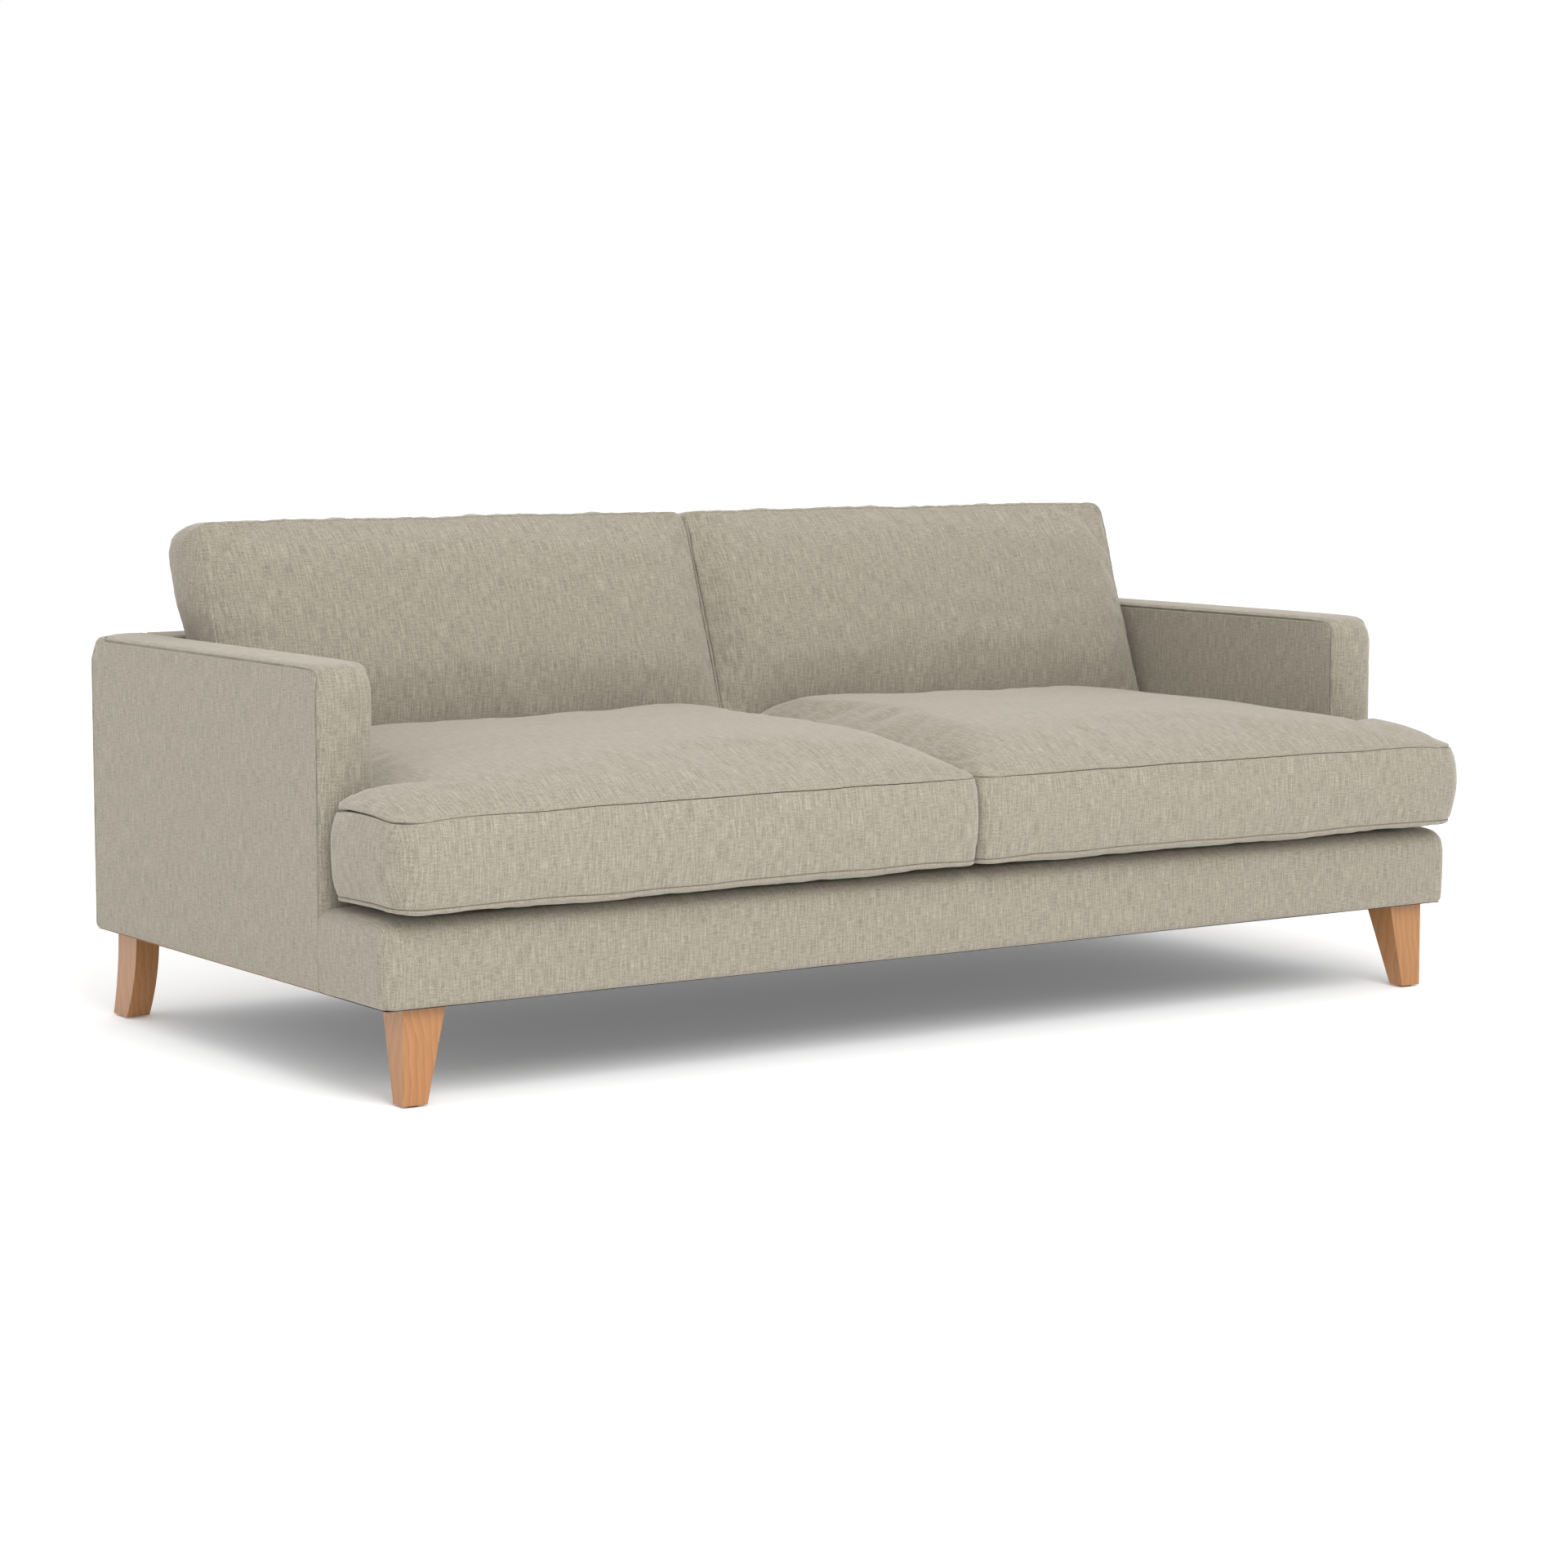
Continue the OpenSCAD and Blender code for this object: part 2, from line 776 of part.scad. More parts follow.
pull_l = 24;
pull_w = 9;
pull_t = 2.5;
pull_gap = 0.3;
seat_zip_z = seat_z0 + seat_belly + seat_boxing * 0.45;
seat_zip_x0 = -seat_inner_x + zip_end;
seat_zip_x1 = -pair_gap / 2 - zip_end;
back_zip_x0 = -back_cushion_x + zip_end;
back_zip_x1 = -pair_gap / 2 - zip_end;
back_zip_n = back_cushion_t - zip_w / 2 - 8;

module seat_zip(is_left) {
    color(black)
    side(is_left)
    box(seat_zip_x0, seat_zip_x1, seat_rear_y, seat_rear_y + zip_t,
        seat_zip_z - zip_w / 2, seat_zip_z + zip_w / 2);
}

module seat_zip_pull(is_left) {
    color(steel)
    side(is_left)
    box(seat_zip_x0, seat_zip_x0 + pull_w, seat_rear_y + zip_t + pull_gap,
        seat_rear_y + zip_t + pull_gap + pull_t,
        seat_zip_z - pull_l / 2, seat_zip_z + pull_l / 2);
}

module back_zip(is_left) {
    color(black)
    side(is_left)
    on_lean(back_foot_y, back_foot_z)
    box(back_zip_x0, back_zip_x1, back_zip_n - zip_w / 2, back_zip_n + zip_w / 2,
        -zip_t, 0);
}

module back_zip_pull(is_left) {
    color(steel)
    side(is_left)
    on_lean(back_foot_y, back_foot_z)
    box(back_zip_x0, back_zip_x0 + pull_w, back_zip_n - pull_l / 2,
        back_zip_n + pull_l / 2, -zip_t - pull_gap - pull_t, -zip_t - pull_gap);
}

front_rail();
rear_rail();
side_rails();
cross_rails();
spring_rail();
corner_blocks();
arm_posts();
arm_top_rails();
back_posts();
back_struts();
back_top_rail();
arm_outer_boards();
arm_inner_boards();
back_board();
seat_springs();
spring_clips();
back_webbing();
seat_felt();
seat_platform();
base_pad();
arm_band_pads();
arm_inner_pads();
back_pad();
back_top_pad();
base_cover();
arm_outer_cover(true);  // arm_outer_cover_left
arm_outer_cover(false);  // arm_outer_cover_right
arm_inner_cover(true);  // arm_inner_cover_left
arm_inner_cover(false);  // arm_inner_cover_right
arm_band(true);  // arm_band_left
arm_band(false);  // arm_band_right
back_inner_cover();
back_outer_cover();
back_top_cover();
dust_cover();
front_leg(true);  // front_leg_left
front_leg(false);  // front_leg_right
rear_leg(true);  // rear_leg_left
rear_leg(false);  // rear_leg_right
leg_bolts();
tee_nuts();
foot_glides();
seat_cover(true);  // seat_cover_left
seat_cover(false);  // seat_cover_right
seat_foam(true);  // seat_foam_left
seat_foam(false);  // seat_foam_right
back_cover(true);  // back_cover_left
back_cover(false);  // back_cover_right
back_fill(true);  // back_fill_left
back_fill(false);  // back_fill_right
seat_zip(true);  // seat_zip_left
seat_zip(false);  // seat_zip_right
back_zip(true);  // back_zip_left
back_zip(false);  // back_zip_right
seat_zip_pull(true);  // seat_zip_pull_left
seat_zip_pull(false);  // seat_zip_pull_right
back_zip_pull(true);  // back_zip_pull_left
back_zip_pull(false);  // back_zip_pull_right
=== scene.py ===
import math
import bmesh
import bpy
import numpy as np
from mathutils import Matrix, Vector
from mathutils.geometry import delaunay_2d_cdt
from mathutils.kdtree import KDTree


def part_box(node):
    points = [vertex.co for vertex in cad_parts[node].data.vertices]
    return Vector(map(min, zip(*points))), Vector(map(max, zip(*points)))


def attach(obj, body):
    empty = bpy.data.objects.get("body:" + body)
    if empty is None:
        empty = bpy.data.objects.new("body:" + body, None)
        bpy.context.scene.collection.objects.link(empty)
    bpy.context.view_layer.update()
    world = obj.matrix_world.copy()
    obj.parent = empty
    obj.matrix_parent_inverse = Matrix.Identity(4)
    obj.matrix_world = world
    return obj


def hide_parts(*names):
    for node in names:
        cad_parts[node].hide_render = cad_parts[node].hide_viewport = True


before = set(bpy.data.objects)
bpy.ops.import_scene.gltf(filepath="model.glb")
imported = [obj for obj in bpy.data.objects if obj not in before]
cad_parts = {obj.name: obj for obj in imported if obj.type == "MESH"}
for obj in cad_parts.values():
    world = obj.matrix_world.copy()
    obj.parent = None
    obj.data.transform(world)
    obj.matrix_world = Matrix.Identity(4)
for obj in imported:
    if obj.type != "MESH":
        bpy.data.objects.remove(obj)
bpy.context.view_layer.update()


# ---- Seat and back frame ----
# Sawn beech rails, posts and blocks, with thin fibreboard under the cloth of
# the arms and the back. Nothing of it shows on a finished sofa.

def rgb(code):
    """The linear colour of an sRGB hex code."""
    parts = [int(code[i:i + 2], 16) / 255 for i in (0, 2, 4)]
    return [c / 12.92 if c < 0.04045 else ((c + 0.055) / 1.055) ** 2.4 for c in parts] + [1]


def node(tree, kind, inputs=None, **settings):
    """A shader node with its settings, and its inputs set to a value or linked to a socket."""
    made = tree.nodes.new(kind)
    for name, value in settings.items():
        setattr(made, name, value)
    for name, value in (inputs or {}).items():
        if isinstance(value, bpy.types.NodeSocket):
            tree.links.new(value, made.inputs[name])
        else:
            made.inputs[name].default_value = value
    return made


def new_material(name):
    """An empty material: its node tree and its surface shader."""
    made = bpy.data.materials.new(name)
    made.use_nodes = True
    return made, made.node_tree, made.node_tree.nodes["Principled BSDF"]


def flecked(name, kind, inputs, dark, light, roughness, output="Fac"):
    """A matt material that runs between two colours as one pattern goes."""
    made, tree, shader = new_material(name)
    place = node(tree, "ShaderNodeTexCoord").outputs["Object"]
    pattern = node(tree, kind, {"Vector": place, **inputs}).outputs[output]
    tone = node(tree, "ShaderNodeMix", {0: pattern, 6: rgb(dark), 7: rgb(light)}, data_type="RGBA")
    tree.links.new(tone.outputs[2], shader.inputs["Base Color"])
    shader.inputs["Roughness"].default_value = roughness
    return made


def dress(names, material, edge=0):
    """Puts a material on CAD nodes, and breaks their edges by a few tenths of a millimetre."""
    for name in names:
        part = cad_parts[name]
        for slot in part.material_slots:
            slot.material = material
        if edge:
            bevel = part.modifiers.new("edge", "BEVEL")
            bevel.width = edge * 0.001
            bevel.segments = 3
            bevel.limit_method = "ANGLE"
            bevel.angle_limit = math.radians(35)


# Planed beech: pale, with short darker pores along the grain
beech, tree, shader = new_material("planed_beech")
place = node(tree, "ShaderNodeTexCoord").outputs["Object"]
along = node(tree, "ShaderNodeMapping", {"Vector": place, "Scale": (90, 90, 12)}).outputs[0]
grain = node(tree, "ShaderNodeTexNoise", {"Vector": along, "Scale": 4, "Detail": 6}).outputs["Fac"]
tone = node(tree, "ShaderNodeMix", {0: grain, 6: rgb("b98f5f"), 7: rgb("dcbd8d")}, data_type="RGBA")
tree.links.new(tone.outputs[2], shader.inputs["Base Color"])
shader.inputs["Roughness"].default_value = 0.6
dress(["front_rail", "rear_rail", "side_rails", "cross_rails", "spring_rail", "corner_blocks",
       "arm_posts", "arm_top_rails", "back_posts", "back_struts", "back_top_rail"], beech, 0.8)

# Hardboard: brown pressed fibres
hardboard = flecked("pressed_fibreboard", "ShaderNodeTexNoise", {"Scale": 700, "Detail": 4},
                    "6d4c30", "9a7650", 0.75)
dress(["arm_outer_boards", "arm_inner_boards", "back_board"], hardboard)


# ---- Springs and webbing ----
# Zigzag wire springs held by folded clips, and woven bands across the back.

# Zinc plate: a grey metal that clouds a little from place to place
steel, tree, shader = new_material("zinc_plated_steel")
place = node(tree, "ShaderNodeTexCoord").outputs["Object"]
cloud = node(tree, "ShaderNodeTexNoise", {"Vector": place, "Scale": 160, "Detail": 3}).outputs["Fac"]
tone = node(tree, "ShaderNodeMix", {0: cloud, 6: rgb("8d8f92"), 7: rgb("b9bbbd")}, data_type="RGBA")
rough = node(tree, "ShaderNodeMapRange", {"Value": cloud, "To Min": 0.28, "To Max": 0.5})
tree.links.new(tone.outputs[2], shader.inputs["Base Color"])
tree.links.new(rough.outputs[0], shader.inputs["Roughness"])
shader.inputs["Metallic"].default_value = 1
dress(["seat_springs", "spring_clips", "leg_bolts", "tee_nuts"], steel)

# Rubber webbing: dark, with a rib every 4 mm
webbing = flecked("woven_webbing", "ShaderNodeTexWave", {"Scale": 80, "Distortion": 0.4},
                  "1d1b19", "4a4238", 0.8)
dress(["back_webbing"], webbing)


# ---- Padding ----
# Foam over the arms, the base and the back, cut to the timber. Its soft edges
# give the covers their rounded arrises.

def waves(points, size, seed):
    """Soft unevenness, mostly between -1 and 1, over lengths near size in mm."""
    made = np.random.default_rng(seed)
    total = np.zeros(points.shape[:-1])
    for _ in range(9):
        way = made.normal(size=3)
        way *= 2 * math.pi / (np.linalg.norm(way) * size * made.uniform(0.7, 1.6))
        total += np.sin(points @ way + made.uniform(0, 6.3))
    return total / 3.2


def surface(name, parts, around, material):
    """A smooth mesh from grids of points in mm, or pairs of points and faces, that look away
    from the point around."""
    points, faces, first = [], [], 0
    for part in parts:
        if isinstance(part, tuple):
            own, cells = part
        else:
            index = np.arange(part.shape[0] * part.shape[1]).reshape(part.shape[:2])
            cells = np.stack([index[:-1, :-1], index[:-1, 1:], index[1:, 1:], index[1:, :-1]], -1)
            cells = cells.reshape(-1, 4).tolist()
            own = part.reshape(-1, 3)
        a, b, c = (own[[f[i] for f in cells]] for i in range(3))
        facing = ((a + b + c) / 3 - around) * np.cross(b - a, c - a)
        if facing.sum() < 0:
            cells = [f[::-1] for f in cells]
        faces += [[i + first for i in f] for f in cells]
        points.append(own)
        first += len(own)
    mesh = bpy.data.meshes.new(name)
    mesh.from_pydata((np.vstack(points) * 0.001).tolist(), [], faces)
    shape = bmesh.new()
    shape.from_mesh(mesh)
    bmesh.ops.remove_doubles(shape, verts=shape.verts, dist=0.00002)
    shape.to_mesh(mesh)
    shape.free()
    mesh.shade_smooth()
    mesh.materials.append(material)
    piece = bpy.data.objects.new(name, mesh)
    bpy.context.collection.objects.link(piece)
    return piece


def upholster(name, parts, around, material, replaced=None, body="frame"):
    """A soft piece that goes with a body and stands for its own piece of the frame, or others."""
    piece = surface(name, parts, around, material)
    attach(piece, body)
    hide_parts(*(replaced or [name]))


def shifted(parts, move):
    """The same grids, or pairs of points and faces, with their points moved by a function."""
    made = []
    for part in parts:
        if isinstance(part, tuple):
            made.append((move(part[0]), part[1]))
        else:
            made.append(move(part.reshape(-1, 3)).reshape(part.shape))
    return made


def mirrored(parts):
    """The same parts for the other end of the sofa."""
    return shifted(parts, lambda points: points * (-1, 1, 1))


# Cut foam: cream, with fine open cells
foam = flecked("cut_foam", "ShaderNodeTexVoronoi", {"Scale": 900}, "d8cba2", "efe6c8", 0.95, "Distance")
dress(["arm_inner_pads", "back_pad"], foam)

# Needled felt over the springs: grey, with light and dark fibres
felt = flecked("needled_felt", "ShaderNodeTexNoise", {"Scale": 500, "Detail": 8}, "5b5955", "a8a49c", 1)
dress(["seat_felt"], felt)

# The covered frame in mm: half its width, its front and rear, its underside
# and deck, each arm's inner side, face and top, and the seam below that face
half_w = 1050
front = -501
rear = 537
under = 149
deck = 283
arm_in = 958
arm_face = -307
arm_crown = 641
seam_y = -291

# The base's roundings at its corners, upper edge and hem, how far its cloth
# dips at the front of the deck, how far in its face's rows go, and the rear of
# the strip of cloth behind them
base_corner = 22
base_edge = 25
hem = 9
edge_dip = 4
tuck = 34
strip_rear = front + 208

# The depth of the foam's surface under the cloth
foam_in = 5


def quarter(centre, radius, start, end, count):
    """Points of an arc between two angles in degrees."""
    angles = np.radians(np.linspace(start, end, count))
    return [(centre[0] + radius * math.cos(t), centre[1] + radius * math.sin(t)) for t in angles]


def soft_corners(points):
    """Rounds the solid corners of the frame: points near one move in towards a centre. Each
    row gives a left corner, the way in from it, the reach and the amount."""
    flip = np.where(points[..., :1] > 0, -1, 1) * np.array([1, 0, 0]) + np.array([0, 1, 1])
    moved = points * flip
    for corner, inward, size, amount in (
            ((-half_w, rear, arm_crown), (1, -1, -1), 40, 0.2),
            ((-half_w, arm_face, arm_crown), (1, 1, -1), 40, 0.16),
            ((-arm_in, arm_face, arm_crown), (-1, 1, -1), 36, 0.18),
            ((-half_w, front, deck), (1, 1, -1), 40, 0.13)):
        centre = np.array(corner) + np.array(inward) * size
        least = np.clip(((centre - moved) * inward / size).min(-1), 0, 1.1)
        moved = moved + (centre - moved) * (amount * least ** 0.9)[..., None]
    return moved * flip


def base_path(inset):
    """The base's plan from the left arm's seam round the front to the right one."""
    r = max(base_corner - inset, 0.5)
    x = half_w - inset
    y = front + inset
    side = [seam_y - p for p in (-5, 0, 0.5, 1.4, 3, 5, 9)]
    side += np.linspace(seam_y - 18, front + 36, 12).tolist()
    left = [(-x, s) for s in side]
    left += quarter((-x + r, y + r), r, 180, 270, 9)
    left += [(s, y) for s in np.linspace(36 - half_w, 0, 90)]
    return np.array(left + [(-p[0], p[1]) for p in left[-2::-1]])


def base_skin(inside):
    """Rows of points up the base's face, over its edge and back under the cushions."""
    profile = [(22, under + 0.4), (hem, under)]
    profile += [(hem - x, z) for x, z in quarter((0, under + hem), hem, 270, 360, 7)[1:]]
    profile += [(0, z) for z in np.linspace(under + 2 * hem, deck - base_edge - 4, 8)]
    profile += [(base_edge + x, z) for x, z in
                quarter((0, deck - base_edge), base_edge, 180, 90, 9)]
    profile += [(tuck, deck)]
    rows = []
    for inset, z in profile:
        plan = base_path(inset + inside)
        dip = edge_dip * min(max((z - 240) / 40, 0), 1)
        level = z - dip - inside * (z > deck - 21)
        rows.append(np.column_stack([plan, np.full(len(plan), level)]))
    return soft_corners(np.array(rows))


def front_strip(inside):
    """The flat cloth behind the base's front edge, under the cushions."""
    x, y = np.meshgrid(np.linspace(tuck - half_w + inside, half_w - tuck - inside, 120),
                       np.linspace(front + tuck + inside, strip_rear, 13))
    return soft_corners(np.stack([x, y, np.full(x.shape, float(deck - edge_dip - inside))], -1))


upholster("base_pad", [base_skin(foam_in), front_strip(foam_in)], (0, 0, 200), foam)


# ---- Fixed covers ----
# Woven cloth sewn to shape and pulled tight over the padding. Each panel turns
# in at its seams, so that a thin dark line stands between two soft lips.

# Upholstery cloth: a plain weave of grey-green and cream yarns with light
# slubs, whose nap turns pale and warm where it is seen at a slant
cloth, tree, shader = new_material("melange_linen_weave")
spot = node(tree, "ShaderNodeTexCoord").outputs["Object"]
facing = node(tree, "ShaderNodeVectorMath", {0: node(tree, "ShaderNodeNewGeometry").outputs["Normal"]},
              operation="ABSOLUTE").outputs[0]
facing = node(tree, "ShaderNodeSeparateXYZ", {0: facing}).outputs
xyz = node(tree, "ShaderNodeSeparateXYZ", {0: spot}).outputs
side_on = node(tree, "ShaderNodeMath", {0: facing[0], 1: 0.72}, operation="GREATER_THAN").outputs[0]
top_on = node(tree, "ShaderNodeMath", {0: facing[2], 1: 0.72}, operation="GREATER_THAN").outputs[0]
across = node(tree, "ShaderNodeMix", {0: side_on, 2: xyz[0], 3: xyz[1]}).outputs[0]
upward = node(tree, "ShaderNodeMix", {0: top_on, 2: xyz[2], 3: xyz[1]}).outputs[0]
flat = node(tree, "ShaderNodeCombineXYZ", {0: across, 1: upward}).outputs[0]
# Yarns in mm: light slubs 2.4 wide and 33 long down the cloth, uneven threads
# 1.9 high across it, and flecks 1.8 wide
down = node(tree, "ShaderNodeMapping", {"Vector": flat, "Scale": (420, 30, 1)}).outputs[0]
cross = node(tree, "ShaderNodeMapping", {"Vector": flat, "Scale": (55, 520, 1)}).outputs[0]
slub = node(tree, "ShaderNodeTexNoise", {"Vector": down, "Scale": 1, "Detail": 3, "Roughness": 0.6},
            noise_dimensions="2D").outputs["Fac"]
weft = node(tree, "ShaderNodeTexNoise", {"Vector": cross, "Scale": 1, "Detail": 3},
            noise_dimensions="2D").outputs["Fac"]
fleck = node(tree, "ShaderNodeTexNoise", {"Vector": flat, "Scale": 560, "Detail": 3},
             noise_dimensions="2D").outputs["Fac"]
slub = node(tree, "ShaderNodeMapRange", {"Value": slub, "From Min": 0.38, "From Max": 0.74}).outputs[0]
weft = node(tree, "ShaderNodeMapRange", {"Value": weft, "From Min": 0.25, "From Max": 0.75}).outputs[0]
fleck = node(tree, "ShaderNodeMapRange", {"Value": fleck, "From Min": 0.25, "From Max": 0.75}).outputs[0]
yarn = node(tree, "ShaderNodeMix", {0: 0.45, 2: slub, 3: weft}).outputs[0]
yarn = node(tree, "ShaderNodeMix", {0: 0.4, 2: yarn, 3: fleck}).outputs[0]
tone = node(tree, "ShaderNodeMix", {0: yarn, 6: rgb("635f53"), 7: rgb("b2a99a")}, data_type="RGBA")
tree.links.new(tone.outputs[2], shader.inputs["Base Color"])
shader.inputs["Roughness"].default_value = 0.9
shader.inputs["Specular IOR Level"].default_value = 0.1
shader.inputs["Sheen Weight"].default_value = 0.42
shader.inputs["Sheen Roughness"].default_value = 0.5
shader.inputs["Sheen Tint"].default_value = rgb("f6f0e6")
# Threads at a 1.1 mm pitch, over and under each other
ends = node(tree, "ShaderNodeMath", {0: node(tree, "ShaderNodeMath", {0: across, 1: 5700.0},
            operation="MULTIPLY").outputs[0]}, operation="SINE").outputs[0]
picks = node(tree, "ShaderNodeMath", {0: node(tree, "ShaderNodeMath", {0: upward, 1: 5700.0},
             operation="MULTIPLY").outputs[0]}, operation="SINE").outputs[0]
weave = node(tree, "ShaderNodeMath", {0: ends, 1: picks}, operation="MULTIPLY").outputs[0]
relief = node(tree, "ShaderNodeMath", {0: weave, 1: 0.25, 2: yarn}, operation="MULTIPLY_ADD").outputs[0]
bump = node(tree, "ShaderNodeBump", {"Height": relief, "Strength": 0.3, "Distance": 0.0005})
tree.links.new(bump.outputs[0], shader.inputs["Normal"])

# Places of a panel's rows near a seam, from the fold behind it to the flat
# cloth, and the space that stays between two panels' lips
roll = [-9, -4, 0, 0.5, 0.9, 1.5, 2.3, 3.6, 6, 11]
gap = 0.7


def spaced(length, start=True, end=True, step=15):
    """Places along a panel in mm, close together by its seams; less than 0 is folded in."""
    first = roll + [13] if start else [0, 6]
    last = [length - p for p in reversed(roll + [13] if end else [0, 6])]
    count = max(2, round((length - 22) / step))
    return np.array(first + np.linspace(19, length - 19, count).tolist() + last)


def turned_in(distance, lip=2.4):
    """How far a panel sinks near its seam, at that distance from it, and beyond it."""
    inside = np.clip(distance, 0, lip)
    return lip - np.sqrt(lip ** 2 - (lip - inside) ** 2) + np.clip(-distance, 0, None)


def round_corner(u, v, size, radius):
    """Bends a grid's corner at (0, 0) to a round one, ring by ring."""
    a = size - np.clip(u, 0, size)
    b = size - np.clip(v, 0, size)
    ring = np.maximum(np.maximum(a, b), 1e-9)
    near = (u < size) & (v < size)
    straight = 1 - radius / size
    low = np.minimum(a, b) / ring
    angle = np.clip(low - straight, 0, None) * size / radius * math.pi / 4
    part = radius / size
    long = np.where(low > straight, ring * (straight + part * np.cos(angle)), np.maximum(a, b))
    short = np.where(low > straight, ring * (straight + part * np.sin(angle)), np.minimum(a, b))
    wide = a >= b
    new_u = size - np.where(wide, long, short)
    new_v = size - np.where(wide, short, long)
    return np.where(near, new_u, np.clip(u, 0, None)), np.where(near, new_v, np.clip(v, 0, None))


def puckers(points, distance, seed):
    """Fine gathers beside a seam and a slight unevenness all over, in mm."""
    near = np.exp(-np.clip(distance, 0, None) / 9)
    return (0.35 * near * waves(points, 24, seed) + 0.45 * waves(points, 150, seed + 1)
            * np.clip(distance / 40, 0, 1))


def side_panel(x, out, bottom, top, ahead, behind, corner, seed, wrap=2.4, slant=0):
    """A flat panel of an arm, with a round upper front corner. Its rear may slant, and its
    lower edge wraps under the base."""
    length = behind - ahead
    u, v = np.meshgrid(spaced(length), spaced(top - bottom))
    distance = np.minimum(np.minimum(u, top - bottom - v), length - u)
    flat_u, from_top = round_corner(u, top - bottom - v, 40, corner)
    flat_u = np.clip(flat_u, gap, length - gap)
    z = np.clip(top - from_top, bottom, top - gap)
    y = ahead + flat_u * (1 - slant * (top - z) / length)
    points = np.stack([np.full(u.shape, float(x)), y, z], -1)
    lift = puckers(points, distance, seed) - turned_in(distance) - turned_in(v, wrap)
    points[..., 0] += out * lift
    return soft_corners(points)


def base_face():
    """The base's cloth: it swells a little over its foam and turns in at the arms' seams."""
    points = base_skin(0)
    x, y, z = points[..., 0], points[..., 1], points[..., 2]
    far = 400
    distance = np.where(np.abs(x) > 900, np.minimum(seam_y - y, far), far)
    # It swells straight forward, but away from a middle point by its ends
    middle = np.stack([np.sign(x) * (half_w - 150), np.full(x.shape, front + 150),
                       np.full(x.shape, 200.0)], -1)
    out = np.where(np.abs(points[..., :1]) > half_w - 40, points - middle, (0, -1, 0)) * (1, 1, 0)
    out = out / np.maximum(np.linalg.norm(out, axis=-1, keepdims=True), 1)
    swell = 1.6 * np.sin(np.clip((z - under) / (deck - under), 0, 1) * math.pi)
    swell = swell + puckers(points, distance, 5) + 0.7 * waves(points, 260, 7)
    return points + out * (swell * (z < deck - 5) - turned_in(distance, 3.4))[..., None]


# Heights and places of the arms' and the back's seams, the rounding of the
# frame's rear corners, and how far the back leans
arm_seam = 633
rear_corner = 16
back_face = 418
band_rear = 468
lean_angle = math.radians(19.6)
lean = math.tan(lean_angle)

upholster("base_cover", [base_face(), front_strip(0)], (0, 0, 200), cloth)
outer = side_panel(-half_w, -1, under, arm_seam, seam_y, rear - rear_corner, 15, 11, wrap=hem)
inner = side_panel(-arm_in, 1, deck - 2, arm_seam, seam_y, back_face, 15, 12, slant=lean)
for end, flip in (("left", 1), ("right", -1)):
    for side, points in (("outer", outer), ("inner", inner)):
        upholster(f"arm_{side}_cover_{end}", [points * (flip, 1, 1)], (-1000 * flip, 100, 400),
                  cloth)


def arm_band(inside):
    """The band up an arm's face and back along its top, crowned across its width."""
    bend = 24
    path = [(arm_face, z) for z in np.linspace(deck - 34, arm_crown - bend - 12, 24)]
    path += quarter((arm_face + bend, arm_crown - bend), bend, 180, 90, 10)
    path += [(y, arm_crown) for y in np.linspace(arm_face + bend + 14, band_rear - 18, 46)]
    path += [(band_rear - p, arm_crown) for p in reversed(roll)]
    path = np.array(path)
    # Its front end hangs 5 mm lower than the rest of its top
    hang = 5 * np.exp(-np.clip(path[:, 0] - arm_face, 0, None) / 36)
    path[:, 1] -= hang * (path[:, 1] > arm_crown - 60)
    way = np.gradient(path, axis=0)
    way /= np.maximum(np.linalg.norm(way, axis=1, keepdims=True), 1e-6)
    out = np.column_stack([-way[:, 1], way[:, 0]])
    out[-len(roll):] = (0, 1)
    width = half_w - arm_in
    across = [gap, gap, 0.65, 0.9, 1.4, 2.6, 4.2, 6.4, 9, 12, 16, 22, 30, 38]
    across = np.array(across + [width / 2] + [width - p for p in reversed(across)])
    edge = np.minimum(across, width - across)
    # Up the face its sides round over widely, and along the top more tightly
    on_top = np.clip((path[:, 0] - arm_face - 2) / 20, 0, 1)
    sink = 16 - 8 * on_top
    reach = 34 - 23 * on_top
    t = np.clip(1 - edge[None, :] / reach[:, None], 0, 1)
    folds = np.zeros(len(across))
    folds[[0, -1]] = 6
    depth = sink[:, None] * (1 - np.sqrt(1 - t ** 2)) + folds
    depth = depth - 1.5 * np.sin(across / width * math.pi)[None, :] + inside
    # At its rear end it turns in against the strip behind it, and its last rows go down
    rear_sink = turned_in(np.where(path[:, 0] > band_rear - 20, band_rear - path[:, 0], 50))
    rear_sink[-2:] = (7, 12)
    depth = depth + rear_sink[:, None]
    x = np.tile(np.clip(across, inside, width - inside) - half_w, (len(path), 1))
    x[:, 0] += 1.5
    x[:, -1] -= 1.5
    y = path[:, :1] - depth * out[:, :1]
    z = path[:, 1:] - depth * out[:, 1:]
    y[-2:] = band_rear
    points = np.stack([x, y, z], -1)
    lift = puckers(points, edge[None, :], 21) * (inside == 0)
    points[..., 1] += lift * out[:, :1]
    points[..., 2] += lift * out[:, 1:]
    return soft_corners(points)


for end, flip in (("left", 1), ("right", -1)):
    centre = (-1004 * flip, 0, 500)
    upholster(f"arm_band_{end}", [arm_band(0) * (flip, 1, 1)], centre, cloth)
    upholster(f"arm_band_pad_{end}", [arm_band(foam_in) * (flip, 1, 1)], centre, foam,
              ["arm_band_pads"])


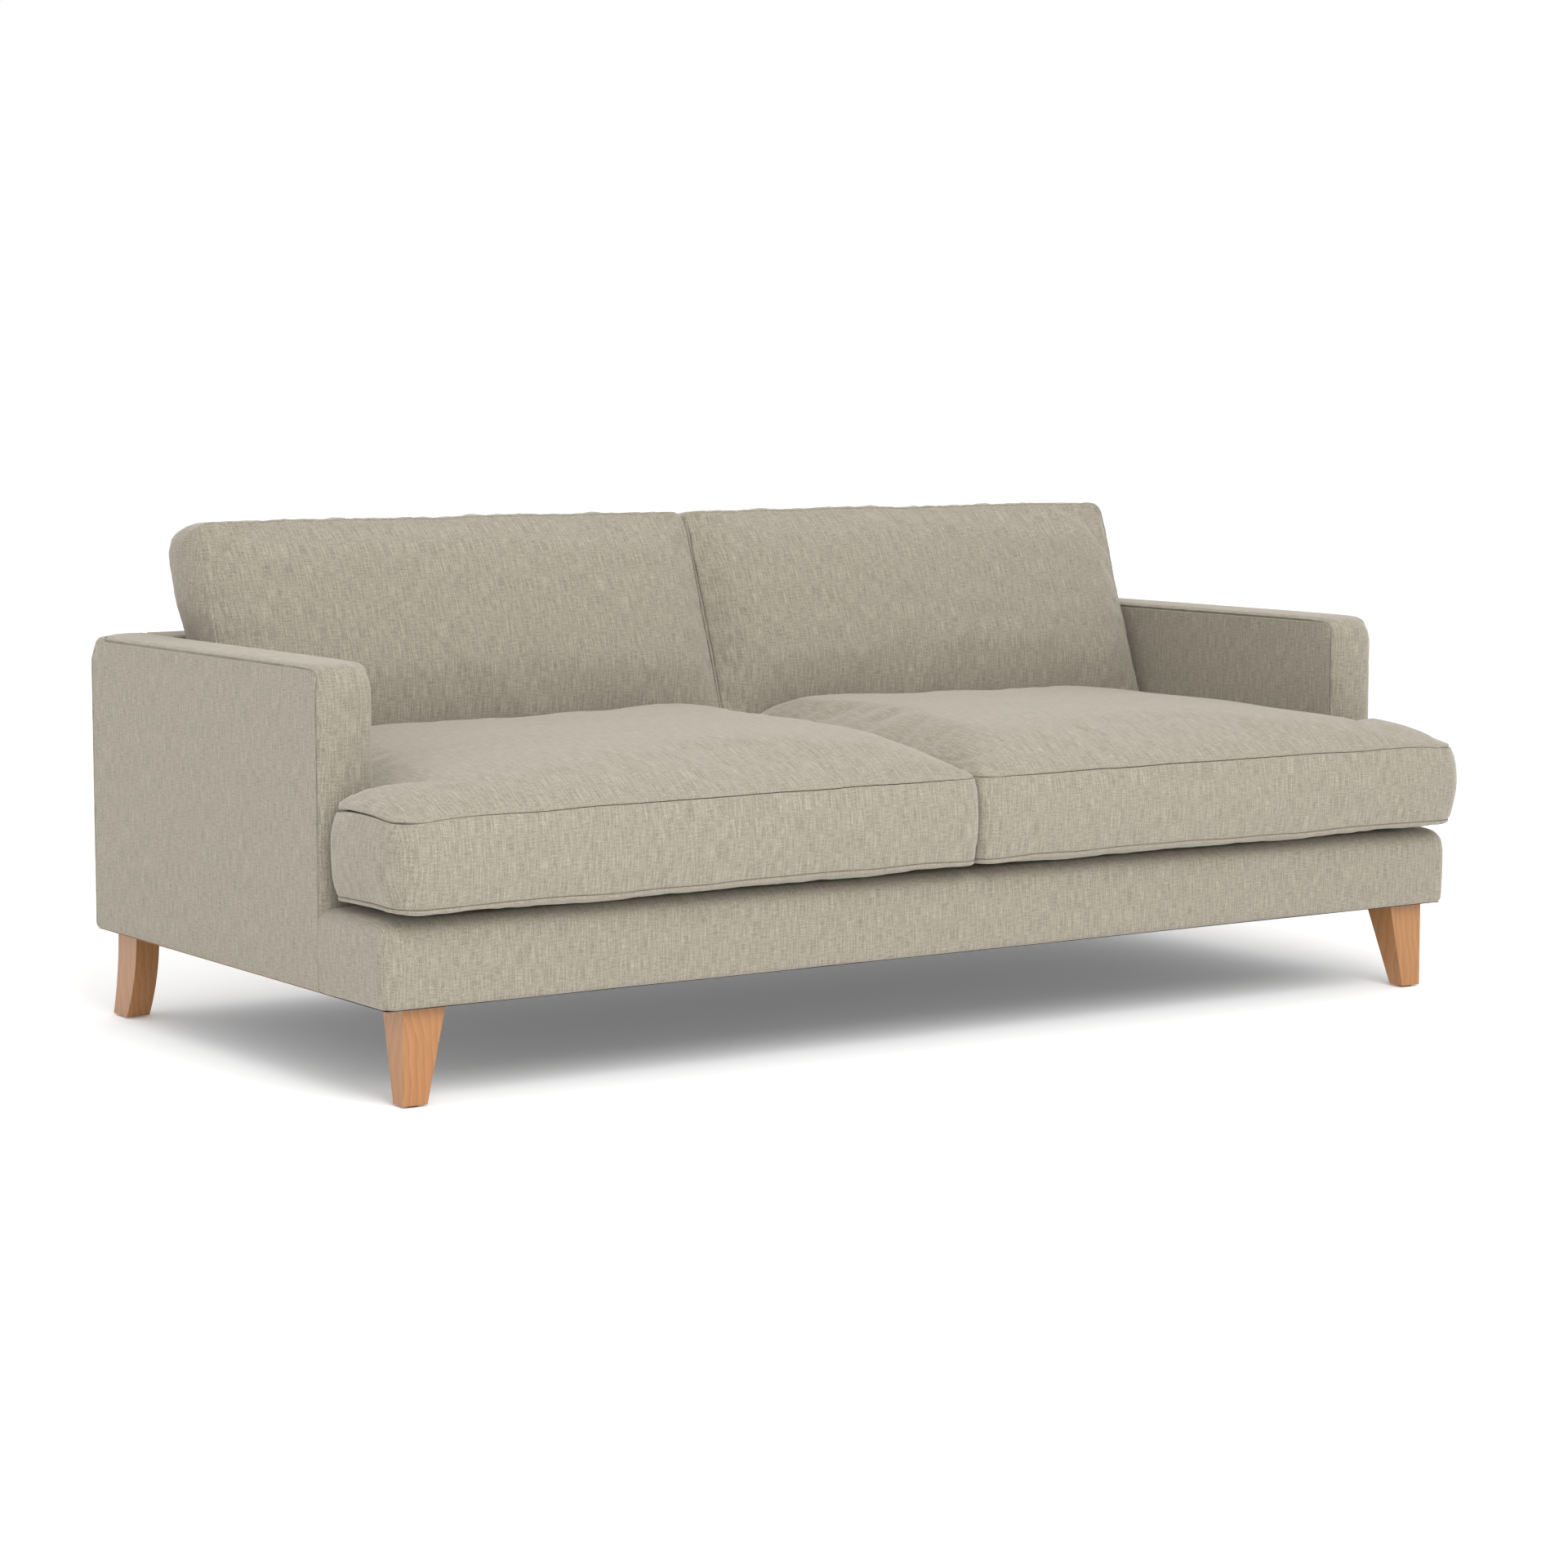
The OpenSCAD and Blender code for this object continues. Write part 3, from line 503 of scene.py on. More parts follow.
def outer_back():
    """The left half of the rear panel, with the round upright corner at its end."""
    arc = rear_corner * math.pi / 2
    u = np.concatenate([roll[:8], np.linspace(6, arc, 9)[1:], np.linspace(arc + 12, half_w, 60)])
    z = under + spaced(arm_seam - under)
    ends = rear - rear_corner
    t = np.clip(u, 0, arc) / rear_corner
    x = -half_w + rear_corner * (1 - np.cos(t)) + np.clip(u - arc, 0, None) * (
        (half_w - rear_corner) / (half_w - arc))
    y = ends + rear_corner * np.sin(t)
    out_x, out_y = -np.cos(t), np.sin(t)
    distance = np.minimum(u[None, :], (arm_seam - z)[:, None])
    shape = distance.shape
    points = np.stack([np.broadcast_to(x, shape), np.broadcast_to(y, shape),
                       np.broadcast_to(np.clip(z, under, arm_seam - gap)[:, None], shape)], -1)
    lift = puckers(points, distance, 31) - turned_in(distance) - turned_in(z - under, hem)[:, None]
    points = points + np.stack([out_x * lift, out_y * lift, 0 * lift], -1)
    return soft_corners(points)


half_back = outer_back()
upholster("back_outer_cover", [half_back, half_back * (-1, 1, 1)], (0, 0, 400), cloth)


def inner_back():
    """The leaning panel behind the back cushions."""
    along, up = np.meshgrid(spaced(2 * arm_in) - arm_in, spaced(arm_seam - deck) + deck)
    distance = np.minimum(arm_in - np.abs(along), np.minimum(up - deck, arm_seam - up))
    x = np.clip(along, -arm_in, arm_in)
    z = np.clip(up, deck, arm_seam)
    points = np.stack([x, back_face - (arm_seam - z) * lean, z], -1)
    lift = puckers(points, distance, 41) - turned_in(distance) - 0.5
    return points + lift[..., None] * (0, -math.cos(lean_angle), math.sin(lean_angle))


upholster("back_inner_cover", [inner_back()], (0, 800, 200), cloth)


def back_top():
    """The strip along the top of the back: a piece behind each arm band, and one between
    them whose ends tuck under the bands."""
    grids = []
    under_band = 7
    for x0, x1, y0 in ((-half_w, -arm_in, band_rear),
                       (-arm_in - under_band, arm_in + under_band, back_face),
                       (arm_in, half_w, band_rear)):
        at_left = x0 == -half_w
        at_right = x1 == half_w
        u, v = np.meshgrid(spaced(x1 - x0, at_left, at_right), spaced(rear - y0))
        from_rear = rear - y0 - v
        distance = np.minimum(v, from_rear)
        x = x0 + np.clip(u, 0, x1 - x0)
        y = y0 + np.clip(v, 0, rear - y0)
        if at_left:
            distance = np.minimum(distance, u)
            a, b = round_corner(u, from_rear, 26, rear_corner)
            x, y = x0 + a, rear - b
        if at_right:
            distance = np.minimum(distance, x1 - x0 - u)
            a, b = round_corner(x1 - x0 - u, from_rear, 26, rear_corner)
            x, y = x1 - a, rear - b
        y = np.clip(y, y0, rear)
        t = np.clip(1 - distance / 10, 0, 1)
        fall = 8 * (1 - np.sqrt(1 - t ** 2)) + np.clip(-distance, 0, None)
        fall = fall + 6 * np.exp(-np.hypot(np.abs(x) - half_w, y - rear) / 22)
        fall = np.where((y0 == back_face) & (np.abs(x) > arm_in), fall + 8, fall)
        if y0 == band_rear:
            by_band = np.clip(v, 0, None) < np.clip(from_rear, 0, None)
            fall = np.where(by_band & (v < 20) & (v <= distance + 1e-6), turned_in(v), fall)
        points = np.stack([x, y, arm_crown - fall], -1)
        points[..., 2] += puckers(points, distance, 51)
        grids.append(soft_corners(points))
    return grids


# The pad under it: the same shape, 4 mm lower and narrower
top_strip = back_top()
top_pad = [(grid - (0, 0, 4)).clip((4 - half_w, 0, 0), (half_w - 4, rear - 4, arm_crown))
           for grid in top_strip]
upholster("back_top_pad", top_pad, (0, 500, 400), foam)
upholster("back_top_cover", top_strip, (0, 500, 400), cloth)

# Lining cloth over the springs: a plain beige weave, hidden by the cushions
lining = flecked("deck_lining", "ShaderNodeTexNoise", {"Scale": 420, "Detail": 4},
                 "a79d88", "d3cab6", 0.95)
lining_front = strip_rear - 4
lining_rear = back_face - (arm_seam - deck) * lean + 2
felt_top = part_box("seat_felt")[1].z * 1000
x, y = np.meshgrid(np.linspace(-arm_in - 1, arm_in + 1, 100), np.linspace(lining_front, lining_rear, 36))
deck_points = np.stack([x, y, np.full(x.shape, deck - 0.6)], -1)
sag = 2.2 * np.clip(np.minimum(arm_in - np.abs(x), y - lining_front + 1) / 80, 0, 1)
deck_points[..., 2] -= sag * (1 + 0.5 * waves(deck_points, 190, 61))
deck_points[..., 2] = np.maximum(deck_points[..., 2], felt_top + 0.6)
deck_cloth = surface("seat_platform", [deck_points], (0, 0, 0), lining)
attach(deck_cloth, "frame")
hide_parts("seat_platform")

# Thin black bonded cloth stapled under the base
bonded = flecked("bonded_dust_cloth", "ShaderNodeTexNoise", {"Scale": 900, "Detail": 5},
                 "141414", "34332f", 0.9)
legs = ["front_leg_left", "front_leg_right", "rear_leg_left", "rear_leg_right"]
# The cloth is cut round each leg's top. A rear leg sweeps back below its top,
# which is all that meets the cloth
rear_leg_top = (425, 500)
dust_in = 6
holes = []
for name in legs:
    low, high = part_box(name)
    top = (low.y * 1000, high.y * 1000) if name.startswith("front") else rear_leg_top
    holes.append([low.x * 1000 - 1, high.x * 1000 + 1, top[0] - 1, top[1] + 1])
columns = sorted(set(np.linspace(dust_in - half_w, half_w - dust_in, 70).tolist()
                     + [h[i] for h in holes for i in (0, 1)]))
rows = sorted(set(np.linspace(front + dust_in, rear - dust_in, 36).tolist()
                  + [h[i] for h in holes for i in (2, 3)]))
x, y = np.meshgrid(columns, rows)
dust_points = np.stack([x, y, np.full(x.shape, under - 0.5)], -1)
sag = np.minimum(half_w - np.abs(x), np.minimum(y - front, rear - y)) - 10
dust_points[..., 2] -= 3 * np.clip(sag / 160, 0, 1) * (1 + 0.3 * waves(dust_points, 240, 71))
index = np.arange(x.size).reshape(x.shape)
cells = []
for j in range(len(rows) - 1):
    for i in range(len(columns) - 1):
        at_x = (columns[i] + columns[i + 1]) / 2
        at_y = (rows[j] + rows[j + 1]) / 2
        if not any(h[0] < at_x < h[1] and h[2] < at_y < h[3] for h in holes):
            cells.append([int(k) for k in (*index[j, i:i + 2], *index[j + 1, i:i + 2][::-1])])
dust = surface("dust_cover", [(dust_points.reshape(-1, 3), cells)], (0, 0, 400), bonded)
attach(dust, "frame")
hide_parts("dust_cover")


# ---- Legs ----
# Four short beech legs, tapered in front and curved behind, with a satin
# lacquer that turns the wood orange-tan. Each stands on a nylon glide.

# Lacquered beech: fine straight grain down the leg, with wide rings that
# close to ovals where a face cuts them flat
leg_wood, tree, shader = new_material("lacquered_beech")
place = node(tree, "ShaderNodeTexCoord").outputs["Object"]
drift = node(tree, "ShaderNodeTexNoise", {"Vector": place, "Scale": 9, "Detail": 2}).outputs["Color"]
bent = node(tree, "ShaderNodeVectorMath", {0: drift, 1: (0.03, 0.03, 0.03), 2: place},
            operation="MULTIPLY_ADD").outputs[0]
rings = node(tree, "ShaderNodeMapping", {"Vector": bent, "Rotation": (0.1, 0.12, 0.4),
                                         "Scale": (1, 1, 0.2)}).outputs[0]
ring = node(tree, "ShaderNodeTexWave", {"Vector": rings, "Scale": 28, "Distortion": 2.5, "Detail": 2,
            "Detail Scale": 1.2}, wave_type="RINGS", rings_direction="Z", wave_profile="SAW")
along = node(tree, "ShaderNodeMapping", {"Vector": place, "Scale": (900, 900, 18)}).outputs[0]
pore = node(tree, "ShaderNodeTexNoise", {"Vector": along, "Scale": 1, "Detail": 4}).outputs["Fac"]
streak = node(tree, "ShaderNodeMapping", {"Vector": place, "Scale": (260, 260, 7)}).outputs[0]
streak = node(tree, "ShaderNodeTexNoise", {"Vector": streak, "Scale": 1, "Detail": 2}).outputs["Fac"]
mixed = node(tree, "ShaderNodeMix", {0: 0.45, 2: ring.outputs["Fac"], 3: streak}).outputs[0]
tone = node(tree, "ShaderNodeMix", {0: mixed, 6: rgb("966433"), 7: rgb("ae7a4a")},
            data_type="RGBA").outputs[2]
pores = node(tree, "ShaderNodeMapRange", {"Value": pore, "From Min": 0.52, "From Max": 0.75,
                                          "To Max": 0.5}).outputs[0]
tone = node(tree, "ShaderNodeMix", {0: pores, 6: tone, 7: rgb("7a4820")}, data_type="RGBA").outputs[2]
tree.links.new(tone, shader.inputs["Base Color"])
shader.inputs["Roughness"].default_value = 0.38
shader.inputs["Coat Weight"].default_value = 0.25
shader.inputs["Coat Roughness"].default_value = 0.25
dress(legs, leg_wood, 1.4)

# Nylon glides: dark grey, dulled by the floor
nylon = flecked("glide_nylon", "ShaderNodeTexNoise", {"Scale": 300, "Detail": 3}, "1f1f1f", "3a3938", 0.55)
dress(["foot_glides"], nylon, 0.6)


# ---- Seat cushions ----
# Two loose foam cushions with a soft wrap, each with an ear in front of the
# arm. A boxing strip joins the crowned top to a bottom that swells a little
# below its seam.

def outline(corners, radii, inset, step=9):
    """Points round a right-angled shape given anticlockwise in mm, moved in by inset."""
    corners = np.array(corners, float)
    count = len(corners)
    arcs = []
    lengths = []
    for i in range(count):
        here = corners[i]
        into = here - corners[i - 1]
        out = corners[(i + 1) % count] - here
        lengths.append(np.linalg.norm(out))
        into /= np.linalg.norm(into)
        out /= np.linalg.norm(out)
        turn = into[0] * out[1] - into[1] * out[0]
        moved = here + inset * np.array([-into[1] - out[1], into[0] + out[0]])
        radius = max(radii[i] - turn * inset, 0.6)
        angles = np.radians(np.linspace(0, 90, 8))[:, None]
        arcs.append(moved - into * radius * (1 - np.sin(angles)) + out * radius * (1 - np.cos(angles)))
    loop = []
    for i in range(count):
        loop.append(arcs[i])
        between = max(2, round(lengths[i] / step))
        share = (np.arange(1, between) / between)[:, None]
        loop.append(arcs[i][-1] * (1 - share) + arcs[(i + 1) % count][0] * share)
    return np.vstack(loop)


def inside_of(loop, points):
    """Which points lie inside a closed loop."""
    x, y = points[:, 0], points[:, 1]
    odd = np.zeros(len(points), bool)
    for (x0, y0), (x1, y1) in zip(loop, np.roll(loop, -1, 0)):
        if y0 != y1:
            crossed = (y0 > y) != (y1 > y)
            odd ^= crossed & (x < (x1 - x0) * (y - y0) / (y1 - y0) + x0)
    return odd


def filled(corners, radii, inset, height, spacing=12):
    """The middle of a panel inside its rings: points at an even spacing, and their faces."""
    loop = outline(corners, radii, inset)
    near = outline(corners, radii, inset + spacing * 0.55)
    low, high = loop.min(0), loop.max(0)
    x, y = np.meshgrid(np.arange(low[0], high[0], spacing), np.arange(low[1], high[1], spacing))
    x = x + (np.arange(len(x)) % 2)[:, None] * spacing / 2
    grid = np.column_stack([x.ravel(), y.ravel()])
    grid = grid[inside_of(near, grid)]
    flat = [Vector(p) for p in np.vstack([loop, grid])]
    made = delaunay_2d_cdt(flat, [], [list(range(len(loop)))], 1, 1e-5)
    points = np.array([(p.x, p.y) for p in made[0]])
    points = np.column_stack([points, height(points[:, 0], points[:, 1])])
    return points, [list(f) for f in made[2]]


def level(height):
    """The same height in mm all over a panel."""
    return lambda x, y: np.full(np.shape(x), float(height))


def ring_rows(corners, radii, rings, height):
    """Rows of points round a panel, from its seam inwards. Each ring is an inset and a drop."""
    rows = []
    for inset, drop in rings:
        loop = outline(corners, radii, max(inset, 0))
        loop = np.vstack([loop, loop[:1]])
        rows.append(np.column_stack([loop, height(loop[:, 0], loop[:, 1]) - drop]))
    return np.array(rows)


def panel(corners, radii, rings, edge, middle, spacing=12):
    """A cushion's panel: rows round its edge, and its middle inside the last of them."""
    return [ring_rows(corners, radii, rings, edge),
            filled(corners, radii, rings[-1][0], middle, spacing)]


def boxing(corners, radii, places, heights, deep, swell, seams):
    """Rows round a cushion's side, from one seam to the other. Between them it swells, by
    as much at each point round it as swell gives, and beside each it turns in."""
    loop = outline(corners, radii, 0)
    out = loop - outline(corners, radii, 1)
    out /= np.maximum(np.linalg.norm(out, axis=1, keepdims=True), 1e-6)
    rows = []
    for place, height in zip(places, heights):
        full = math.sin(min(max(place / deep, 0), 1) * math.pi) ** 0.7
        sink = float(turned_in(np.array(min(place, deep - place)))) if seams else 0
        moved = loop + out * (swell(loop) * full - sink)
        moved = np.vstack([moved, moved[:1]])
        rows.append(np.column_stack([moved, np.full(len(moved), float(height))]))
    return np.array(rows)


def simulate(name, parts, seams, pressure, slack, cap, voxel):
    """Inflates a copy of a cushion as cloth that its seams hold, and gives the points
    at rest and how far each one moved, in mm."""
    every = np.vstack([p[0] if isinstance(p, tuple) else p.reshape(-1, 3) for p in parts])
    copy = surface(name, parts, every.mean(0), foam)
    bpy.context.view_layer.objects.active = copy
    remesh = copy.modifiers.new("even", "REMESH")
    remesh.mode = "VOXEL"
    remesh.voxel_size = voxel * 0.001
    shapes = bpy.context.evaluated_depsgraph_get()
    even = bpy.data.meshes.new_from_object(copy.evaluated_get(shapes))
    copy.modifiers.clear()
    copy.data = even
    rest = np.empty(len(even.vertices) * 3)
    even.vertices.foreach_get("co", rest)
    rest = rest.reshape(-1, 3) * 1000
    tree = KDTree(len(seams))
    for i, p in enumerate(seams):
        tree.insert(p, i)
    tree.balance()
    # Held at its seams, and free from 24 mm away
    held = copy.vertex_groups.new(name="held")
    for i, p in enumerate(rest):
        far = tree.find(p)[2]
        if far < 24:
            held.add([i], float(math.exp(-(far / 11) ** 2)), "REPLACE")
    fabric = copy.modifiers.new("fabric", "CLOTH")
    feel = fabric.settings
    feel.quality = 5
    feel.mass = 0.35
    feel.use_pressure = True
    feel.uniform_pressure_force = pressure
    feel.effector_weights.gravity = 0
    feel.tension_stiffness = 14
    feel.compression_stiffness = 14
    feel.shear_stiffness = 5
    feel.bending_stiffness = 0.35
    feel.vertex_group_mass = "held"
    feel.shrink_min = -slack
    fabric.collision_settings.use_collision = False
    frames = 22
    fabric.point_cache.frame_start = 1
    fabric.point_cache.frame_end = frames
    scene = bpy.context.scene
    for number in range(1, frames + 1):
        scene.frame_set(number)
    shapes = bpy.context.evaluated_depsgraph_get()
    moved = np.empty(len(rest) * 3)
    copy.evaluated_get(shapes).data.vertices.foreach_get("co", moved)
    moved = moved.reshape(-1, 3) * 1000 - rest
    far = np.linalg.norm(moved, axis=1, keepdims=True)
    moved *= np.minimum(1, cap / np.maximum(far, 1e-6))
    bpy.data.objects.remove(copy)
    scene.frame_set(1)
    return rest, moved


def follow(parts, rest, moved):
    """Carries a cushion's own points along with its simulated copy."""
    tree = KDTree(len(rest))
    for i, p in enumerate(rest):
        tree.insert(p, i)
    tree.balance()

    def carried(points):
        shift = np.zeros(points.shape)
        for i, p in enumerate(points):
            near = tree.find_n(p, 5)
            share = np.array([1 / (n[2] + 1.5) for n in near])
            shift[i] = share @ moved[[n[1] for n in near]] / share.sum()
        return points + shift

    return shifted(parts, carried)


# A panel's edge, as insets from its outline and drops below its face: it turns
# down into the seam, where the boxing meets it. Without seams it stays flat
top_rings = [(7, 8), (3.4, 4.6), (2, 3), (1.9, 2.2), (2.2, 1.3), (3, 0.55), (4.2, 0.1), (6, 0), (9, 0),
             (13, 0), (17, 0), (22, 0)]
plain_rings = [(0, 0), (8, 0), (16, 0), (22, 0)]

# The left cushion's plan in mm: the ear's outer side and rear, the side by the
# arm, the side by the other cushion, and the front and rear
ear_side = -1042
ear_rear = -319
arm_side = -954
mid_side = -1.5
seat_front = -537
seat_rear = 285
seat_corners = [(ear_side, seat_front), (mid_side, seat_front), (mid_side, seat_rear),
                (arm_side, seat_rear), (arm_side, ear_rear), (ear_side, ear_rear)]
seat_radii = [44, 28, 26, 26, 10, 30]

# Its lower and upper seams, and where the back cushion's front edge stands on it
seat_low = 302.5
seat_top = 433
seat_deep = seat_top - seat_low
foot_y = 211
foot_z = 460


def rise(far, length):
    """How fully a crown has risen at a distance from its seam."""
    return 1 - np.exp(-np.clip(far, 0, None) / length)


def seat_height(x, y):
    """Height of a seat cushion's top, low by the arm and full towards its middle."""
    by_corner = np.hypot(x - arm_side, y - ear_rear)
    by_arm = np.where(y > ear_rear, x - arm_side, np.minimum(x - ear_side, by_corner))
    by_arm = np.where(x < arm_side, np.minimum(x - ear_side, ear_rear - y), by_arm)
    by_mid = mid_side - x
    by_front = y - seat_front
    crown = 66 * rise(by_arm, 190) ** 0.6 * rise(by_mid, 42) * rise(by_front, 95)
    crown = crown + 5 * rise(by_arm, 11) * rise(by_mid, 11) * rise(by_front, 11)
    # The back cushion presses on its rear, so it stays 3 mm below that cushion
    slope = foot_z - 3 - (y - foot_y) * lean
    ahead = foot_z - 3 + (foot_y - y) * 1.7
    limit = np.maximum(np.where(y > foot_y, slope, ahead) - seat_top, 0)
    return seat_top + crown * limit / (crown ** 4 + limit ** 4 + 1) ** 0.25


def seat_swell(loop):
    """How far a seat cushion's side swells at its middle, most at the ear's outer side."""
    on_ear = (loop[:, :1] < -1000) * np.clip((ear_rear - loop[:, 1:]) / 30, 0, 1)
    return 6 * (1 + 0.9 * on_ear)


def seat_floor(x, y):
    """Height of a seat cushion's underside, which sags from its front and outer edges."""
    edge = np.minimum(y - seat_front, x - ear_side)
    return seat_low - 17.5 + 11 * np.exp(-(edge - 38) / 90)


def seat_parts(seams):
    """Top, boxing and bottom of the left seat cushion; without seams, one closed skin."""
    rings = top_rings if seams else plain_rings
    top = panel(seat_corners, seat_radii, rings, seat_height, seat_height)
    places = spaced(seat_deep, step=12) if seams else np.linspace(0, seat_deep, 12)
    heights = seat_low + np.clip(places, 0, seat_deep - 2 * seams)
    side = boxing(seat_corners, seat_radii, places, heights, seat_deep, seat_swell, seams)
    below = [(0, 0), (0, 3), (0.4, 6), (3, 9), (8, 9), (20, 9), (38, 9)]
    if seams:
        below = [(8, -1), (3, 0), (2.1, 0.3), (1, 0.9), (0.1, 1.8), (-0.4, 3.2), (-0.2, 4.8), (0.8, 6.2),
                 (2.6, 7.2), (5.4, 7.6), (10, 7.2), (20, 6.6), (38, 6.5)]
    bottom = panel(seat_corners, seat_radii, below, level(seat_low), seat_floor, 22)
    return top + [side] + bottom


def seam_points(corners, radii, heights, step=4):
    """Points along a cushion's seams, at each height."""
    loop = outline(corners, radii, 0, step)
    return np.vstack([np.column_stack([loop, np.full(len(loop), float(h))]) for h in heights])


def settled(p):
    """A seat cushion's points at rest: its ear's corners hang a little, the lower edge waves,
    the rear is pressed flat, and the side stays clear of the arm."""
    by_front = np.exp(-((p[:, 0] - ear_side) ** 2 + (p[:, 1] - seat_front) ** 2) / 75 ** 2)
    by_rear = np.exp(-((p[:, 0] - ear_side) ** 2 + (p[:, 1] - ear_rear) ** 2) / 38 ** 2)
    up = np.clip((p[:, 2] - 290) / 140, 0, 1.1)
    lift = 2 * waves(p, 170, 81) * (0.8 - 0.3 * up)
    z = np.maximum(p[:, 2] - (9 * by_front + 7 * by_rear) * up + lift, deck + 1)
    y = np.minimum(p[:, 1] + 0.9 * waves(p, 90, 82), seat_rear - 0.6)
    x = np.minimum(p[:, 0] + 0.9 * waves(p, 90, 83), mid_side + 0.7)
    x = np.where(y > ear_rear - 3, np.maximum(x, arm_side - 2.5), x)
    gather = np.exp(-((p[:, 2] - seat_top) / 9) ** 2)
    y = y + 0.5 * gather * waves(p, 26, 84)
    return np.column_stack([x, y, z])


seat = seat_parts(True)
stitched = seam_points(seat_corners, seat_radii, (seat_low, seat_top))
rest, moved = simulate("seat_copy", seat_parts(False), stitched,
                       pressure=3, slack=0.012, cap=10, voxel=10)
seat = follow(seat, rest, moved)
seat = shifted(seat, settled)
for end, parts, centre_x in (("left", seat, -478), ("right", mirrored(seat), 478)):
    upholster(f"seat_cushion_{end}", parts, (centre_x, -126, 370), cloth,
              [f"seat_cover_{end}", f"seat_foam_{end}"], f"seat_cushion_{end}")


# ---- Back cushions ----
# Two fibre-filled cushions that lean on the back. Their faces swell well out
# from the seams, which gather the cloth, and they flop over a little on top.

# The left cushion's outer side, its height from foot to head along the back,
# and its depth between the seams
back_side = -940
back_tall = 391
back_deep = 108
back_corners = [(back_side, 0), (mid_side, 0), (mid_side, back_tall), (back_side, back_tall)]
back_radii = [22, 8, 24, 24]


def back_height(x, s):
    """How far a back cushion's face stands out from its front seam."""
    by_head = back_tall - s
    crown = 50 * rise(x - back_side, 115) * rise(mid_side - x, 70) * rise(s, 42) * rise(by_head, 85)
    # Small folds run in from its side seams, and fan out from its upper corners
    by_side = np.minimum(x - back_side, mid_side - x)
    folds = waves(np.stack([0.1 * x, s, np.zeros(np.shape(s))], -1), 34, 97)
    crown = crown + 1.8 * folds * np.exp(-np.clip(by_side, 0, None) / 40) * rise(by_side, 8)
    for corner in (back_side, mid_side):
        far = np.hypot(x - corner, by_head)
        turn = np.arctan2(by_head, np.abs(x - corner) + 1e-6)
        fan = 2.4 * np.sin(9 * turn + 0.01 * corner)
        crown = crown + fan * np.exp(-(far / 120) ** 2) * rise(far - 8, 30)
    return crown


def back_swell(loop):
    """How far a back cushion's side swells at its middle, most at its head."""
    return 5 + 3 * np.clip(loop[:, 1:] / back_tall, 0, 1) ** 2


def back_parts(seams):
    """Face, boxing and rear of the left back cushion, lying on its rear."""
    rings = [(inset + 1.1, drop) for inset, drop in top_rings] if seams else plain_rings
    face = panel(back_corners, back_radii, rings, back_height, back_height)
    places = spaced(back_deep, step=12) if seams else np.linspace(0, back_deep, 10)
    heights = -np.clip(places, 2 * seams, back_deep)
    side = boxing(back_corners, back_radii, places, heights, back_deep, back_swell, seams)
    behind = [(0, 0), (2, 8), (8, 17), (16, 23), (26, 26.5), (38, 27)]
    if seams:
        behind = [(8, -1), (3, 0), (2, 0.4), (1, 1.3), (0.6, 3), (1.2, 6.5), (3.4, 12), (7.4, 17.5),
                  (13, 22), (20, 25), (28, 26.5), (38, 27)]
    back = panel(back_corners, back_radii, behind, level(-back_deep), level(-back_deep - 27), 20)
    return face + [side] + back


def stood_up(p):
    """A back cushion's points on the seat, leaning on the back: s goes up it and n into it."""
    gather = np.exp(-np.abs(p[:, 2]) / 14)
    x = np.clip(p[:, 0] + 1.1 * waves(p, 100, 91) + 0.5 * gather * waves(p, 28, 92),
                back_side - 8, mid_side + 0.9)
    s = np.maximum(p[:, 1] + 0.8 * waves(p, 110, 93) + 0.5 * gather * waves(p, 26, 94), 1.2)
    n = np.minimum(-p[:, 2] + 1.2 * waves(p, 150, 95), back_deep + 26.6)
    # Its lower rear edge is flat enough for the zip
    turned = np.interp(n, [108, 111, 114.5, 120, 125.5, 130], [0, 0.6, 1.2, 3.4, 7.4, 13])
    s = np.maximum(s - turned * np.clip((80 - s) / 40, 0, 1), 1.2)
    # Above the arm its side swells outwards, as nothing holds it there
    over_arm = np.clip((s - 198 - 0.356 * n) / 50, 0, 1) * np.sin(np.clip(n / 136, 0, 1) * math.pi)
    x = x - 11 * over_arm * np.clip((back_side + 40 - x) / 40, 0, 1)
    # Its head flops over towards the rear
    behind = np.clip((n - 45) / 90, 0, 1) ** 2
    s = s - 16 * behind * np.clip(s / back_tall, 0, 1.05) ** 7
    y = foot_y + s * math.sin(lean_angle) + n * math.cos(lean_angle)
    z = foot_z + 1.4 + s * math.cos(lean_angle) - n * math.sin(lean_angle)
    return np.column_stack([x, y, z])


cushion = back_parts(True)
stitched = seam_points(back_corners, back_radii, (0, -back_deep))
rest, moved = simulate("back_copy", back_parts(False), stitched,
                       pressure=4, slack=0.03, cap=13, voxel=8)
cushion = follow(cushion, rest, moved)
cushion = shifted(cushion, stood_up)
for end, parts, centre_x in (("left", cushion, -470), ("right", mirrored(cushion), 470)):
    upholster(f"back_cushion_{end}", parts, (centre_x, 330, 630), cloth,
              [f"back_cover_{end}", f"back_fill_{end}"], f"back_cushion_{end}")


# ---- Zips ----
# A dark zip behind each seat cushion and under each back cushion, with plated
# metal teeth, closed by a small plated slider that stops at its outer end.

# Zip tape: a dark brown-grey twill with a 1 mm rib
tape = flecked("zip_tape", "ShaderNodeTexWave", {"Scale": 300, "Distortion": 1}, "3b3732", "5c564d", 0.85)

